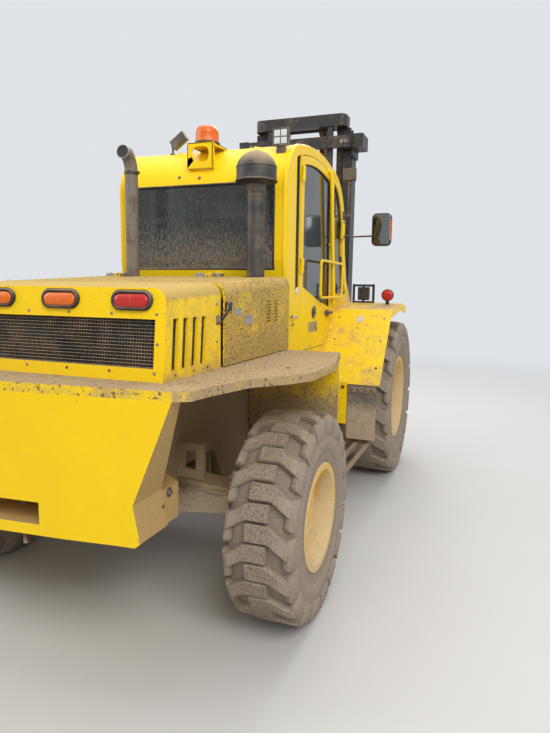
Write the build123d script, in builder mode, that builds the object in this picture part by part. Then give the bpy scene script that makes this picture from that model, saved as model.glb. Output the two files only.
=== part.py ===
from build123d import *
from math import atan2, cos, degrees, radians, sin, sqrt, tan
import os

os.makedirs("parts", exist_ok=True)

# Rough terrain forklift, in millimetres.
# The forks point to -Y, +Z is up, and +X is the driver's left-hand side.
# Places along the machine are written as "ahead", the distance in front of the rear axle.

# Driving sizes of the whole machine
wheelbase = 2394
rear_overhang = 900
fork_length = 1220
cab_half_width = 577
hood_half_width = 628
deck_top = 1182
deck_thickness = 35
gap = 5
seat_gap = 0.3
pin_clearance = 0.05

# Wheels
front_tyre_radius = 637.5
front_tyre_width = 395
front_track_half = 857
front_lugs = 16
rear_tyre_radius = 482.5
rear_tyre_width = 310
rear_track_half = 902
rear_lugs = 18
lug_angle = 30
rim_lip = 14
front_rim_width = 336
rear_rim_width = 282
kingpin_half = 690
kingpin_radius = 22

# Chassis
rail_outer = 400
rail_thickness = 30
cab_floor_bottom = 1040
cab_floor_thickness = 30
mast_pivot_ahead = 2690
mast_pivot_height = 550
mast_pivot_radius = 30
tilt_base_ahead = 1550
tilt_base_height = 800
tilt_eye_ahead = 2660
tilt_eye_height = 985
tilt_cylinder_x = 460
tilt_pin_radius = 16
tilt_eye_play = 9

# Mast
rail_back_ahead = 2740
rail_depth = 160
rail_outer_x = 480
rail_web = 16
rail_flange = 22
rail_flange_inner_x = 394
inner_depth = 104
inner_flange = 18
inner_web = 16
inner_web_x = 385
inner_outer_x = 455
inner_inner_x = 328
outer_mast_bottom = 260
outer_mast_top = 2875
inner_mast_bottom = 300
inner_mast_top = 3075
mast_head_height = 100
lift_barrel_x = 285
lift_barrel_ahead = 2698
lift_barrel_radius = 38
lift_rod_radius = 28
chain_x = 190
chain_width = 44
chain_thickness = 14
sheave_radius = 62
fork_width = 150
fork_thickness = 50
fork_x = 330
fork_height = 720
fork_clearance = 45

fork_face_ahead = rail_back_ahead + rail_depth + 125
front_reach = fork_face_ahead + fork_length
rear_axle_y = (front_reach - rear_overhang) / 2
deck_bottom = deck_top - deck_thickness
rail_inner = rail_outer - rail_thickness
cab_floor_top = cab_floor_bottom + cab_floor_thickness


def y_at(ahead):
    return rear_axle_y - ahead


def side_plate(points, x_low, x_high):
    """Solid with a side outline of (ahead, height) points, between two places across."""
    with BuildPart() as solid:
        with BuildSketch(Plane.YZ.offset(x_low)):
            Polygon(*[(y_at(a), z) for a, z in points], align=None)
        extrude(amount=x_high - x_low)
    return solid.part


def plan_plate(points, z_low, z_high):
    """Solid with a plan outline of (across, ahead) points, between two heights."""
    with BuildPart() as solid:
        with BuildSketch(Plane.XY.offset(z_low)):
            Polygon(*[(x, y_at(a)) for x, a in points], align=None)
        extrude(amount=z_high - z_low)
    return solid.part


def cross_plate(points, ahead_low, ahead_high):
    """Solid with an outline of (across, height) points, between two places ahead."""
    with BuildPart() as solid:
        with BuildSketch(Plane.XZ.offset(-y_at(ahead_low))):
            Polygon(*points, align=None)
        extrude(amount=ahead_high - ahead_low)
    return solid.part


def block(x_low, x_high, ahead_low, ahead_high, z_low, z_high):
    return side_plate(
        [(ahead_low, z_low), (ahead_high, z_low), (ahead_high, z_high), (ahead_low, z_high)], x_low, x_high
    )


def cross_rod(x_low, x_high, ahead, z, radius):
    """Round bar lying across the machine."""
    with BuildPart() as bar:
        with BuildSketch(Plane.YZ.offset(x_low)):
            with Locations((y_at(ahead), z)):
                Circle(radius)
        extrude(amount=x_high - x_low)
    return bar.part


def upright(x, ahead, z_low, z_high, radius):
    """Round bar standing up."""
    with BuildPart() as bar:
        with BuildSketch(Plane.XY.offset(z_low)):
            with Locations((x, y_at(ahead))):
                Circle(radius)
        extrude(amount=z_high - z_low)
    return bar.part


def along(x, ahead_low, ahead_high, z, radius):
    """Round bar lying along the machine."""
    with BuildPart() as bar:
        with BuildSketch(Plane.XZ.offset(-y_at(ahead_low))):
            with Locations((x, z)):
                Circle(radius)
        extrude(amount=ahead_high - ahead_low)
    return bar.part


def bent_bar(points, radius, bend):
    """Round bar through (across, ahead, height) points with rounded corners."""
    with BuildPart() as bar:
        with BuildLine() as path:
            FilletPolyline(*[(x, y_at(a), z) for x, a, z in points], radius=bend)
        with BuildSketch(Plane(origin=path.line @ 0, z_dir=path.line % 0)):
            Circle(radius)
        sweep(path=path.line)
    return bar.part


def ring_bar(x, ahead_low, ahead_high, z_low, z_high, radius, bend):
    """Closed round bar in a plane along the machine."""
    middle = (y_at((ahead_low + ahead_high) / 2), (z_low + z_high) / 2)
    with BuildPart() as bar:
        with BuildSketch(Plane.YZ.offset(x - radius)):
            with Locations(middle):
                RectangleRounded(ahead_high - ahead_low + 2 * radius, z_high - z_low + 2 * radius, bend)
                RectangleRounded(ahead_high - ahead_low - 2 * radius, z_high - z_low - 2 * radius, bend - 16,
                                 mode=Mode.SUBTRACT)
        extrude(amount=2 * radius)
        rim_edges = bar.edges().filter_by(Plane.YZ)
        chamfer(rim_edges, radius / 2)
    return bar.part


def finish(solid, name):
    solid.label = name
    export_step(solid, f"parts/{name}.step")


# Tyres. The carcass is a ring of flat facets, one to each lug of a side, and the lugs stand out of it.
# The corner of one lug points straight down.
def tyre(radius, width, bead_radius, flange_radius, rim_width, lugs, lug_height, lug_thickness, centre):
    carcass = radius - lug_height
    half = width / 2
    slope = radians(lug_angle)
    bulge = bead_radius + (carcass - bead_radius) / 2
    sections = [
        # across, ring_radius
        (-half * 0.80, bead_radius + 6),
        (-half * 0.96, bulge),
        (-half * 0.84, carcass - 16),
        (half * 0.84, carcass - 16),
        (half * 0.96, bulge),
        (half * 0.80, bead_radius + 6),
    ]
    middle = half / 2 / cos(slope)
    overhang = lug_thickness / 2 * sin(slope)
    reach = (half - overhang) / cos(slope)
    inner_end = -overhang / cos(slope)
    arc = half / 2 * tan(slope) + lug_thickness / 2 / cos(slope)
    crown = sqrt(radius**2 - arc**2)
    flange_face = rim_width / 2 - rim_lip - seat_gap
    profile = [
        (inner_end, carcass - 18),
        (inner_end, crown),
        (reach - 30, crown),
        (reach, carcass - 40),
    ]
    pieces = []
    for side in (-1, 1):
        lie = Vector(side * cos(slope), sin(slope), 0)
        plane = Plane(origin=(0, -middle * sin(slope), 0), x_dir=lie, z_dir=lie.cross(Vector(0, 0, 1)))
        with BuildPart() as lug:
            with BuildSketch(plane):
                Polygon(*profile, align=None)
            extrude(amount=lug_thickness / 2, both=True)
        for number in range(lugs):
            turn = 360 / lugs * (number + (0.5 if side > 0 else 0))
            pieces.append(lug.part.rotate(Axis.X, turn))
    with BuildPart() as body:
        for across, ring_radius in sections:
            with BuildSketch(Plane.YZ.offset(across)):
                RegularPolygon(ring_radius, lugs)
        loft(ruled=True)
        add(pieces)
        with BuildSketch(Plane.YZ.offset(-half)):
            RegularPolygon(bead_radius + seat_gap, lugs, major_radius=False)
        extrude(amount=width, mode=Mode.SUBTRACT)
        for start in (-half, flange_face):
            with BuildSketch(Plane.YZ.offset(start)):
                RegularPolygon(flange_radius + seat_gap, lugs, major_radius=False)
            extrude(amount=half - flange_face, mode=Mode.SUBTRACT)
    turned = body.part.rotate(Axis.X, -degrees(atan2(arc, crown)))
    return turned.moved(Location((centre[0], y_at(centre[1]), centre[2])))


def rim(flange_radius, bead_radius, width, disc_out, hub_radius, hub_in, hub_out, bore, bolts, centre, side):
    """Rim with its dished disc and hub, turned about X, with +X outwards before it changes side."""
    wall = 12
    half = width / 2
    barrel = bead_radius - 22
    taper = rim_lip + 58
    outline = [
        (-half, flange_radius),
        (-half + rim_lip, flange_radius),
        (-half + rim_lip, bead_radius),
        (-half + taper, barrel),
        (half - taper, barrel),
        (half - rim_lip, bead_radius),
        (half - rim_lip, flange_radius),
        (half, flange_radius),
        (half, bead_radius - wall),
        (half - taper, barrel - wall),
        (disc_out + 14, barrel - wall),
        (disc_out - 14, hub_radius + 62),
        (disc_out - 14, hub_radius),
        (hub_out, hub_radius - 12),
        (hub_out, 0),
        (hub_out - 30, 0),
        (hub_out - 30, bore),
        (hub_in, bore),
        (hub_in, hub_radius),
        (disc_out - 28, hub_radius),
        (disc_out - 28, hub_radius + 62),
        (disc_out, barrel - wall),
        (-half + taper, barrel - wall),
        (-half, bead_radius - wall),
    ]
    with BuildPart() as body:
        with BuildSketch(Plane.XY):
            Polygon(*outline, align=None)
        revolve(axis=Axis.X)
        with BuildSketch(Plane.YZ.offset(disc_out - 15)):
            with PolarLocations(hub_radius + 32, bolts):
                RegularPolygon(15, 6)
        extrude(amount=19)
    turned = body.part if side > 0 else body.part.rotate(Axis.Z, 180)
    return turned.moved(Location((centre[0], y_at(centre[1]), centre[2])))


front_bead_radius = 317.5
front_flange_radius = 346
rear_bead_radius = 228.6
rear_flange_radius = 252.5
front_hub_in = -157
rear_hub_in = -60
spindle_radius = 35

for name, side in (("left", 1), ("right", -1)):
    front_centre = (side * front_track_half, wheelbase, front_tyre_radius)
    rear_centre = (side * rear_track_half, 0, rear_tyre_radius)
    front_tyre = tyre(
        front_tyre_radius, front_tyre_width, front_bead_radius, front_flange_radius, front_rim_width,
        front_lugs, 34, 66, front_centre,
    )
    finish(front_tyre, f"front_tyre_{name}")
    rear_tyre = tyre(
        rear_tyre_radius, rear_tyre_width, rear_bead_radius, rear_flange_radius, rear_rim_width,
        rear_lugs, 28, 48, rear_centre,
    )
    finish(rear_tyre, f"rear_tyre_{name}")
    front_rim = rim(
        front_flange_radius, front_bead_radius, front_rim_width, 30, 120, front_hub_in, 120,
        60 + pin_clearance, 10, front_centre, side,
    )
    finish(front_rim, f"front_rim_{name}")
    rear_rim = rim(
        rear_flange_radius, rear_bead_radius, rear_rim_width, 25, 74, rear_hub_in, 86,
        spindle_radius + pin_clearance, 8, rear_centre, side,
    )
    finish(rear_rim, f"rear_rim_{name}")

# Axles
axle_radius = 85
axle_pad_top = 760
hub_face = front_track_half + front_hub_in - seat_gap
with BuildPart() as front_axle:
    add(cross_rod(-hub_face, hub_face, wheelbase, front_tyre_radius, axle_radius))
    with BuildSketch(Plane.YZ.offset(-150)):
        with Locations((y_at(wheelbase), front_tyre_radius)):
            Circle(110)
    with BuildSketch(Plane.YZ):
        with Locations((y_at(wheelbase), front_tyre_radius)):
            Circle(165)
    with BuildSketch(Plane.YZ.offset(150)):
        with Locations((y_at(wheelbase), front_tyre_radius)):
            Circle(110)
    loft()
    for side in (-1, 1):
        x = side * hub_face
        add(cross_rod(min(x, x - side * 60), max(x, x - side * 60), wheelbase, front_tyre_radius, 150))
        add(cross_rod(min(x, x + side * 90), max(x, x + side * 90), wheelbase, front_tyre_radius, 60))
        add(
            block(
                side * 385 - 55, side * 385 + 55, wheelbase - 80, wheelbase + 80, front_tyre_radius,
                axle_pad_top,
            )
        )
finish(front_axle.part, "front_axle")

beam_low = 420
beam_high = 600
beam_half = 70
ear = 32
ear_radius = 46
trunnion_radius = 45
trunnion_end = 220
trunnion_plate = 30
trunnion_face = 170
with BuildPart() as rear_axle:
    add(
        cross_plate(
            [
                (-600, beam_low + 30), (-300, beam_low), (300, beam_low), (600, beam_low + 30),
                (600, beam_high - 25), (300, beam_high), (-300, beam_high), (-600, beam_high - 25),
            ],
            -beam_half,
            beam_half,
        )
    )
    add(along(0, -trunnion_end, trunnion_end, 510, trunnion_radius))
    for side in (-1, 1):
        for low, high in ((rear_tyre_radius - 118, rear_tyre_radius - 118 + ear),
                          (rear_tyre_radius + 118 - ear, rear_tyre_radius + 118)):
            add(block(min(side * 590, side * kingpin_half), max(side * 590, side * kingpin_half),
                      -ear_radius, ear_radius, low, high))
            add(upright(side * kingpin_half, 0, low, high, ear_radius))
        add(block(side * 600 - 12, side * 600 + 12, -ear_radius, ear_radius,
                  rear_tyre_radius - 118, rear_tyre_radius + 118))
        add(upright(side * kingpin_half, 0, rear_tyre_radius - 118, rear_tyre_radius + 118, kingpin_radius))
    add(cross_rod(-330, 330, -beam_half - 42, 540, 38))
    for side in (-1, 1):
        add(block(side * 250 - 15, side * 250 + 15, -beam_half - 90, -beam_half, 495, 585))
finish(rear_axle.part, "rear_axle")

for name, side in (("left", 1), ("right", -1)):
    with BuildPart() as knuckle:
        low = rear_tyre_radius - 118 + ear + seat_gap
        high = rear_tyre_radius + 118 - ear - seat_gap
        add(upright(side * kingpin_half, 0, low, high, 52))
        flange_face = side * (rear_track_half + rear_hub_in - seat_gap)
        flange_back = flange_face - side * 34
        add(cross_rod(min(side * (kingpin_half + 20), flange_back), max(side * (kingpin_half + 20), flange_back),
                      0, rear_tyre_radius, 50))
        add(cross_rod(min(flange_back, flange_face), max(flange_back, flange_face), 0, rear_tyre_radius, 72))
        spindle_end = flange_face + side * 100
        add(cross_rod(min(flange_face, spindle_end), max(flange_face, spindle_end), 0, rear_tyre_radius,
                      spindle_radius))
        add(upright(side * kingpin_half, 0, low - 1, high + 1, kingpin_radius + pin_clearance),
            mode=Mode.SUBTRACT)
    finish(knuckle.part, f"knuckle_{name}")

# Frame: two deep side rails with cross plates
rail_side = [
    (-460, 500), (-250, 500), (-170, 690), (170, 690), (280, 480), (2170, 440), (2200, axle_pad_top),
    (2585, axle_pad_top), (2610, mast_pivot_height - 45), (mast_pivot_ahead, mast_pivot_height - 45),
    (mast_pivot_ahead + 45, mast_pivot_height), (mast_pivot_ahead, mast_pivot_height + 45),
    (2660, 700), (2600, 900), (2422, cab_floor_bottom), (700, cab_floor_bottom), (660, deck_bottom),
    (-460, deck_bottom),
]
cross_members = [
    # ahead_low, ahead_high, z_low, z_high
    (-460, -430, 560, deck_bottom),
    (300, 330, 500, 800),
    (1180, 1210, 460, 820),
    (1980, 2010, 460, 900),
    (2560, 2590, 640, 860),
]
with BuildPart() as frame:
    for side in (-1, 1):
        x_low = min(side * rail_inner, side * rail_outer)
        add(side_plate(rail_side, x_low, x_low + rail_thickness))
        add(cross_rod(min(side * rail_inner, side * (rail_outer + 70)), max(side * rail_inner,
                      side * (rail_outer + 70)), mast_pivot_ahead, mast_pivot_height, mast_pivot_radius))
        add(cross_rod(min(side * rail_outer, side * (tilt_cylinder_x + 40)), max(side * rail_outer,
                      side * (tilt_cylinder_x + 40)), tilt_base_ahead, tilt_base_height, tilt_pin_radius))
    for ahead_low, ahead_high, z_low, z_high in cross_members:
        add(block(-rail_inner, rail_inner, ahead_low, ahead_high, z_low, z_high))
    for ahead_low in (-trunnion_face - trunnion_plate, trunnion_face):
        ahead_high = ahead_low + trunnion_plate
        add(block(-rail_inner, rail_inner, ahead_low, ahead_high, 440, 820))
        add(along(0, ahead_low - 1, ahead_high + 1, 510, trunnion_radius + seat_gap), mode=Mode.SUBTRACT)
    add(block(-rail_inner, rail_inner, -trunnion_face - trunnion_plate, 620, 800, 820))
    for side in (-1, 1):
        x_low = min(side * rail_outer, side * 540)
        add(block(x_low, x_low + 140, -215, -190, 660, 822))
        add(block(side * 470 - 32, side * 470 + 32, -216, -189, 700, 790), mode=Mode.SUBTRACT)
finish(frame.part, "frame")

# Counterweight: a bowed casting, flared at the top, with the hitch pocket in its back
weight_front = -460 - seat_gap
weight_back = [(0, -rear_overhang), (310, -872), (534, -842), (746, -823)]
corner = (800, -790)
weight_low = 613
shoulder = 768
face_outline = [
    (0, weight_low), (598, weight_low), (619, 630), (592, shoulder), (626, 851), (701, 1038), (744, deck_bottom),
    (0, deck_bottom),
]
flare_foot = -650
flare_top = -760
column_half = 420
pocket_low = weight_low + 42
pocket_high = pocket_low + 85
pocket_outline = [(-250, -920), (250, -920), (76, -716), (50, -690), (-50, -690), (-76, -716)]
hitch_ahead = -728
hitch_radius = 13
with BuildPart() as counterweight:
    for side in (-1, 1):
        add(cross_plate([(side * x, z) for x, z in face_outline], -rear_overhang, flare_foot))
        column_low = min(side * column_half, side * 900)
        add(side_plate([(flare_foot + 1, shoulder), (flare_foot, shoulder), (flare_top, deck_bottom),
                        (flare_top, deck_bottom + 1), (flare_foot + 1, deck_bottom + 1)],
                       column_low, column_low + 900 - column_half), mode=Mode.SUBTRACT)
        add(plan_plate([(0, flare_foot - 20), (side * 594, flare_foot - 20), (side * 594, -528),
                        (side * 500, weight_front), (0, weight_front)], weight_low + 4, shoulder - 8))
        add(plan_plate([(0, flare_foot - 20), (side * column_half, flare_foot - 20),
                        (side * column_half, weight_front), (0, weight_front)], shoulder - 9, deck_bottom))
    bow = [(side * x, a) for side, points in ((-1, reversed(weight_back)), (1, weight_back[1:]))
           for x, a in points]
    outside = bow + [(corner[0], -780), (1200, -780), (1200, -1000), (-1200, -1000), (-1200, -780),
                     (-corner[0], -780)]
    add(plan_plate(outside, 500, 1300), mode=Mode.SUBTRACT)
    add(plan_plate(pocket_outline, pocket_low, pocket_high), mode=Mode.SUBTRACT)
    add(upright(0, hitch_ahead, weight_low - 10, pocket_low + 1, hitch_radius + seat_gap), mode=Mode.SUBTRACT)
finish(counterweight.part, "counterweight")

with BuildPart() as hitch_pin:
    add(upright(0, hitch_ahead, weight_low - 128, pocket_high - seat_gap, hitch_radius))
    add(upright(0, hitch_ahead, pocket_low + seat_gap, pocket_low + 8, hitch_radius + 8))
finish(hitch_pin.part, "hitch_pin")

# Rear deck: the plate over the counterweight that widens into the rear fenders
deck_edge = [
    (0, -rear_overhang), (310, -872), (534, -842), (746, -823), (800, -785), (812, -690), (870, -455),
    (985, -300), (1040, -190), (1050, 150), (990, 430), (952, 635),
]
deck_plate_half = 946
fender_wall = 15
with BuildPart() as deck:
    for side in (-1, 1):
        add(plan_plate([(side * x, a) for x, a in deck_edge] + [(0, 635)], deck_bottom, deck_top))
        add(cross_plate([(side * 404, 720), (side * (deck_plate_half - 8), 720), (side * deck_plate_half, 760),
                         (side * deck_plate_half, deck_bottom), (side * 404, deck_bottom)],
                        635 - fender_wall, 635))
    add(block(-320, 320, -300, 640, deck_bottom - 1, deck_top + 1), mode=Mode.SUBTRACT)
finish(deck.part, "rear_deck")

with BuildPart() as engine_block:
    add(block(-270, 270, -150, 600, 820, 1400))
finish(engine_block.part, "engine_block")

# Hood: the fixed radiator housing behind, and the lid in front, which is wider by its own sheet
hood_back_low = -688
hood_back_high = -653
hood_seam = -217
hood_front = 640
hood_top_back = 1524
hood_top_front = 1598
hood_wall = 12
hood_corner = 55
lid_wall = 8
lid_half_width = hood_half_width + gap + lid_wall
lid_seam_gap = 12


def hood_top(ahead):
    share = (ahead - hood_back_high) / (hood_front - hood_back_high)
    return hood_top_back + (hood_top_front - hood_top_back) * share


lean = (hood_back_high - hood_back_low) / (hood_top_back - deck_top)


def back_face(z):
    return hood_back_low + (z - deck_top) * lean


def folded_sheet(outline, inside, half, wall):
    """Shell of one side outline across the hood, rounded along its two upper edges."""
    with BuildPart() as hollow:
        add(side_plate(inside, wall - half, half - wall))
        edges = hollow.edges().filter_by(
            lambda e: abs(e.center().X) > half - wall - 1 and e.center().Z > 1480 and e.length > 300)
        fillet(edges, hood_corner - wall)
    with BuildPart() as shell:
        add(side_plate(outline, -half, half))
        edges = shell.edges().filter_by(
            lambda e: abs(e.center().X) > half - 1 and e.center().Z > 1480 and e.length > 300)
        fillet(edges, hood_corner)
        add(hollow.part, mode=Mode.SUBTRACT)
    return shell.part


grille_half = 585
grille_low = 1230
grille_high = 1410
slot_places = [-592, -517, -442, -369]
with BuildPart() as rear_housing:
    add(
        folded_sheet(
            [
                (hood_back_low, deck_top), (hood_seam, deck_top), (hood_seam, hood_top(hood_seam)),
                (hood_back_high, hood_top(hood_back_high)),
            ],
            [
                (back_face(deck_top - 1) + hood_wall, deck_top - 1), (hood_seam + 20, deck_top - 1),
                (hood_seam + 20, hood_top(hood_seam + 20) - hood_wall),
                (back_face(hood_top_back - hood_wall) + hood_wall, hood_top_back - hood_wall),
            ],
            hood_half_width, hood_wall,
        )
    )
    add(block(-grille_half, grille_half, -720, -600, grille_low, grille_high), mode=Mode.SUBTRACT)
    for ahead in slot_places:
        add(
            side_plate(
                [(ahead - 20 - 18, 1219), (ahead + 20 - 18, 1219), (ahead + 20, 1412), (ahead - 20, 1412)],
                -700, 700,
            ),
            mode=Mode.SUBTRACT,
        )
finish(rear_housing.part, "rear_housing")

grille_columns = 20
grille_rows = 4
bar = 8
frame_edge = 14
with BuildPart() as rear_grille:
    add(
        side_plate(
            [
                (back_face(grille_low - frame_edge) + hood_wall + seat_gap, grille_low - frame_edge),
                (back_face(grille_high + frame_edge) + hood_wall + seat_gap, grille_high + frame_edge),
                (back_face(grille_high + frame_edge) + hood_wall + seat_gap + 5, grille_high + frame_edge),
                (back_face(grille_low - frame_edge) + hood_wall + seat_gap + 5, grille_low - frame_edge),
            ],
            -grille_half - frame_edge, grille_half + frame_edge,
        )
    )
    cell_x = 2 * grille_half / grille_columns
    cell_z = (grille_high - grille_low) / grille_rows
    with BuildSketch(Plane.XZ.offset(-y_at(-720))):
        with Locations((0, (grille_low + grille_high) / 2)):
            with GridLocations(cell_x, cell_z, grille_columns, grille_rows):
                Rectangle(cell_x - bar, cell_z - bar)
    extrude(amount=140, mode=Mode.SUBTRACT)
finish(rear_grille.part, "rear_grille")

lamp_places = [-485, -158, 158, 485]
lamp_height = hood_top_back - 46
with BuildPart() as rear_lamps:
    for x in lamp_places:
        tilt = Plane(origin=(x, y_at(back_face(lamp_height)) + seat_gap, lamp_height), x_dir=(1, 0, 0),
                     z_dir=(0, 1, lean))
        with BuildSketch(tilt):
            SlotOverall(178, 76)
        extrude(amount=10)
finish(rear_lamps.part, "rear_lamps")

with BuildPart() as cooling_pack:
    add(block(-480, 480, -520, -420, deck_top, 1490))
    add(along(0, -590, -520, 1335, 34))
    with BuildSketch(Plane.XZ.offset(-y_at(-575))):
        with Locations((0, 1335)):
            with PolarLocations(78, 6):
                Rectangle(130, 46)
    extrude(amount=10)
finish(cooling_pack.part, "cooling_pack")

# The lid has its hinges at the front edge of the top and two notches round the stacks
lid_hinge_ahead = 655
lid_hinge_height = hood_top(640) + 14
lid_hinge_radius = 9
lid_pin_radius = 5
lid_leaf = 38
lid_hinges = [-145, 491]
exhaust_x = 386
exhaust_radius = 49
cleaner_x = -448
cleaner_radius = 51
cleaner_dome_radius = 113
stack_ahead = 600
notch_margin = 8
notch_back = 500
vents = [
    # ahead, height, rows
    (322, 1414, 7),
    (422, 1414, 7),
]
with BuildPart() as hood:
    lid_back = hood_seam + lid_seam_gap
    lid_foot = deck_top + gap
    add(
        folded_sheet(
            [
                (lid_back, lid_foot), (hood_front, lid_foot), (hood_front, hood_top(hood_front)),
                (lid_back, hood_top(lid_back)),
            ],
            [
                (lid_back - 20, lid_foot - 1), (hood_front + 20, lid_foot - 1),
                (hood_front + 20, hood_top(hood_front + 20) - lid_wall),
                (lid_back - 20, hood_top(lid_back - 20) - lid_wall),
            ],
            lid_half_width, lid_wall,
        )
    )
    for ahead, z, rows in vents:
        with BuildSketch(Plane.YZ.offset(-700)):
            with Locations((y_at(ahead), z)):
                with GridLocations(10, 17, 1, rows):
                    Rectangle(58, 8)
        extrude(amount=1400, mode=Mode.SUBTRACT)
    for x, radius in ((exhaust_x, exhaust_radius), (cleaner_x, cleaner_radius)):
        half = radius + notch_margin
        add(block(x - half, x + half, notch_back, hood_front + 20, 1500, 1640), mode=Mode.SUBTRACT)
    for x in lid_hinges:
        add(block(x - lid_leaf - 2, x - 2, 560, lid_hinge_ahead, hood_top(600) - 3, lid_hinge_height))
        add(cross_rod(x - lid_leaf - 2, x - 2, lid_hinge_ahead, lid_hinge_height, lid_hinge_radius))
        add(cross_rod(x - 3, x + 32, lid_hinge_ahead, lid_hinge_height, lid_pin_radius))
finish(hood.part, "hood")

# Cab
cab_back = 755
cab_side_wall = 50
cab_inner = cab_half_width - cab_side_wall
cab_front = 2422
pillar = 60
door_back = 1030
door_front_low = 1600
door_front_sill = 1800
door_bottom = 1130
door_gap = 5


def cab_profile(inset):
    """Closed D of the cab seen from the side, drawn in by an inset."""
    with BuildSketch() as sketch:
        with BuildLine():
            foot_back = (y_at(795), cab_floor_top)
            Line(foot_back, (y_at(790), 1450))
            Line((y_at(790), 1450), (y_at(cab_back), 1700))
            Line((y_at(cab_back), 1700), (y_at(cab_back), 2080))
            ThreePointArc((y_at(cab_back), 2080), (y_at(825), 2310), (y_at(1040), 2412))
            ThreePointArc((y_at(1040), 2412), (y_at(1400), 2449), (y_at(1760), 2404))
            ThreePointArc((y_at(1760), 2404), (y_at(2040), 2280), (y_at(2142), 2060))
            Line((y_at(2142), 2060), (y_at(2190), 1820))
            Line((y_at(2190), 1820), (y_at(2262), 1610))
            Line((y_at(2262), 1610), (y_at(cab_front), 1450))
            Line((y_at(cab_front), 1450), (y_at(cab_front), cab_floor_top))
            Line((y_at(cab_front), cab_floor_top), foot_back)
        make_face()
        if inset:
            offset(amount=-inset, kind=Kind.INTERSECTION, mode=Mode.REPLACE)
    return sketch.sketch


def cab_slab(inset, x_low, x_high):
    with BuildPart() as slab:
        with BuildSketch(Plane.YZ.offset(x_low)):
            add(cab_profile(inset))
        extrude(amount=x_high - x_low)
    return slab.part


def cab_region(points, inset, x_low, x_high):
    """The part of the drawn-in D that lies inside a polygon of (ahead, height) points."""
    with BuildPart() as region:
        add(cab_slab(inset, x_low, x_high))
        add(side_plate(points, x_low - 1, x_high + 1), mode=Mode.INTERSECT)
    return region.part


hinge_x = cab_half_width + 14
hinge_ahead = door_back - 14
hinge_radius = 11
hinge_length = 45
hinge_heights = [1678, 2240]
door_points = [
    (door_back, door_bottom), (door_front_low, door_bottom), (door_front_sill, 1375), (1745, 2600),
    (door_back, 2600),
]
rear_quarter_points = [(925, 1520), (1010, 1520), (1010, 2600), (925, 2600)]
front_quarter_points = [(1835, 1500), (2500, 1500), (2500, 2600), (1785, 2600)]


def grown(points, amount):
    """The door outline, larger all round by an amount."""
    (a0, z0), (a1, z1), (a2, z2), (a3, z3), (a4, z4) = points
    return [(a0 - amount, z0 - amount), (a1 + amount, z1 - amount), (a2 + amount, z2), (a3 + amount, z3),
            (a4 - amount, z4)]


side_extra = [
    ("left", 1),
    ("right", -1),
]
with BuildPart() as cab_sides:
    for side in (-1, 1):
        x_low = min(side * cab_inner, side * cab_half_width)
        add(cab_slab(0, x_low, x_low + cab_side_wall))
        for points, inset in ((grown(door_points, door_gap), pillar - door_gap),
                              (rear_quarter_points, pillar), (front_quarter_points, pillar + 20)):
            add(cab_region(points, inset, x_low - 2, x_low + cab_side_wall + 2), mode=Mode.SUBTRACT)
        skin = side * cab_half_width
        for z in hinge_heights:
            low = z - hinge_length - seat_gap
            add(block(min(skin, skin + side * 8), max(skin, skin + side * 8), hinge_ahead - 11, hinge_ahead, low,
                      low + hinge_length))
            add(upright(side * hinge_x, hinge_ahead, low, low + hinge_length, hinge_radius))
finish(cab_sides.part, "cab_sides")

with BuildPart() as cab_floor:
    add(block(-cab_half_width, cab_half_width, 795, cab_front, cab_floor_bottom, cab_floor_top))
finish(cab_floor.part, "cab_floor")

roof_thickness = 45
roof_back = 860
roof_front = 2010
with BuildPart() as cab_roof:
    add(cab_slab(0, -cab_inner, cab_inner))
    add(cab_slab(roof_thickness, -cab_inner - 1, cab_inner + 1), mode=Mode.SUBTRACT)
    add(block(-600, 600, roof_back, roof_front, 2200, 2500), mode=Mode.INTERSECT)
finish(cab_roof.part, "cab_roof")

rear_window_low = 1640
rear_window_high = 2160
with BuildPart() as cab_rear_wall:
    add(cab_slab(0, -cab_inner, cab_inner))
    add(cab_slab(35, -cab_inner - 1, cab_inner + 1), mode=Mode.SUBTRACT)
    add(block(-600, 600, 600, roof_back, cab_floor_top, 2600), mode=Mode.INTERSECT)
    add(block(-cab_inner + 25, cab_inner - 25, 600, roof_back, rear_window_low, rear_window_high),
        mode=Mode.SUBTRACT)
    for x in lid_hinges:
        low = x - 2 + seat_gap
        high = x + 32
        add(side_plate([(lid_hinge_ahead, lid_hinge_height - 5), (775, lid_hinge_height - 5),
                        (775, lid_hinge_height + 5), (lid_hinge_ahead, lid_hinge_height + 5)], low, high))
        add(cross_rod(low, high, lid_hinge_ahead, lid_hinge_height, lid_hinge_radius))
        add(cross_rod(low - 1, high + 1, lid_hinge_ahead, lid_hinge_height, lid_pin_radius + pin_clearance),
            mode=Mode.SUBTRACT)
finish(cab_rear_wall.part, "cab_rear_wall")

wind_low = 1440
with BuildPart() as cab_front_wall:
    add(block(-cab_inner, cab_inner, cab_front - 35, cab_front, cab_floor_top, wind_low))
finish(cab_front_wall.part, "cab_front_wall")

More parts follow.
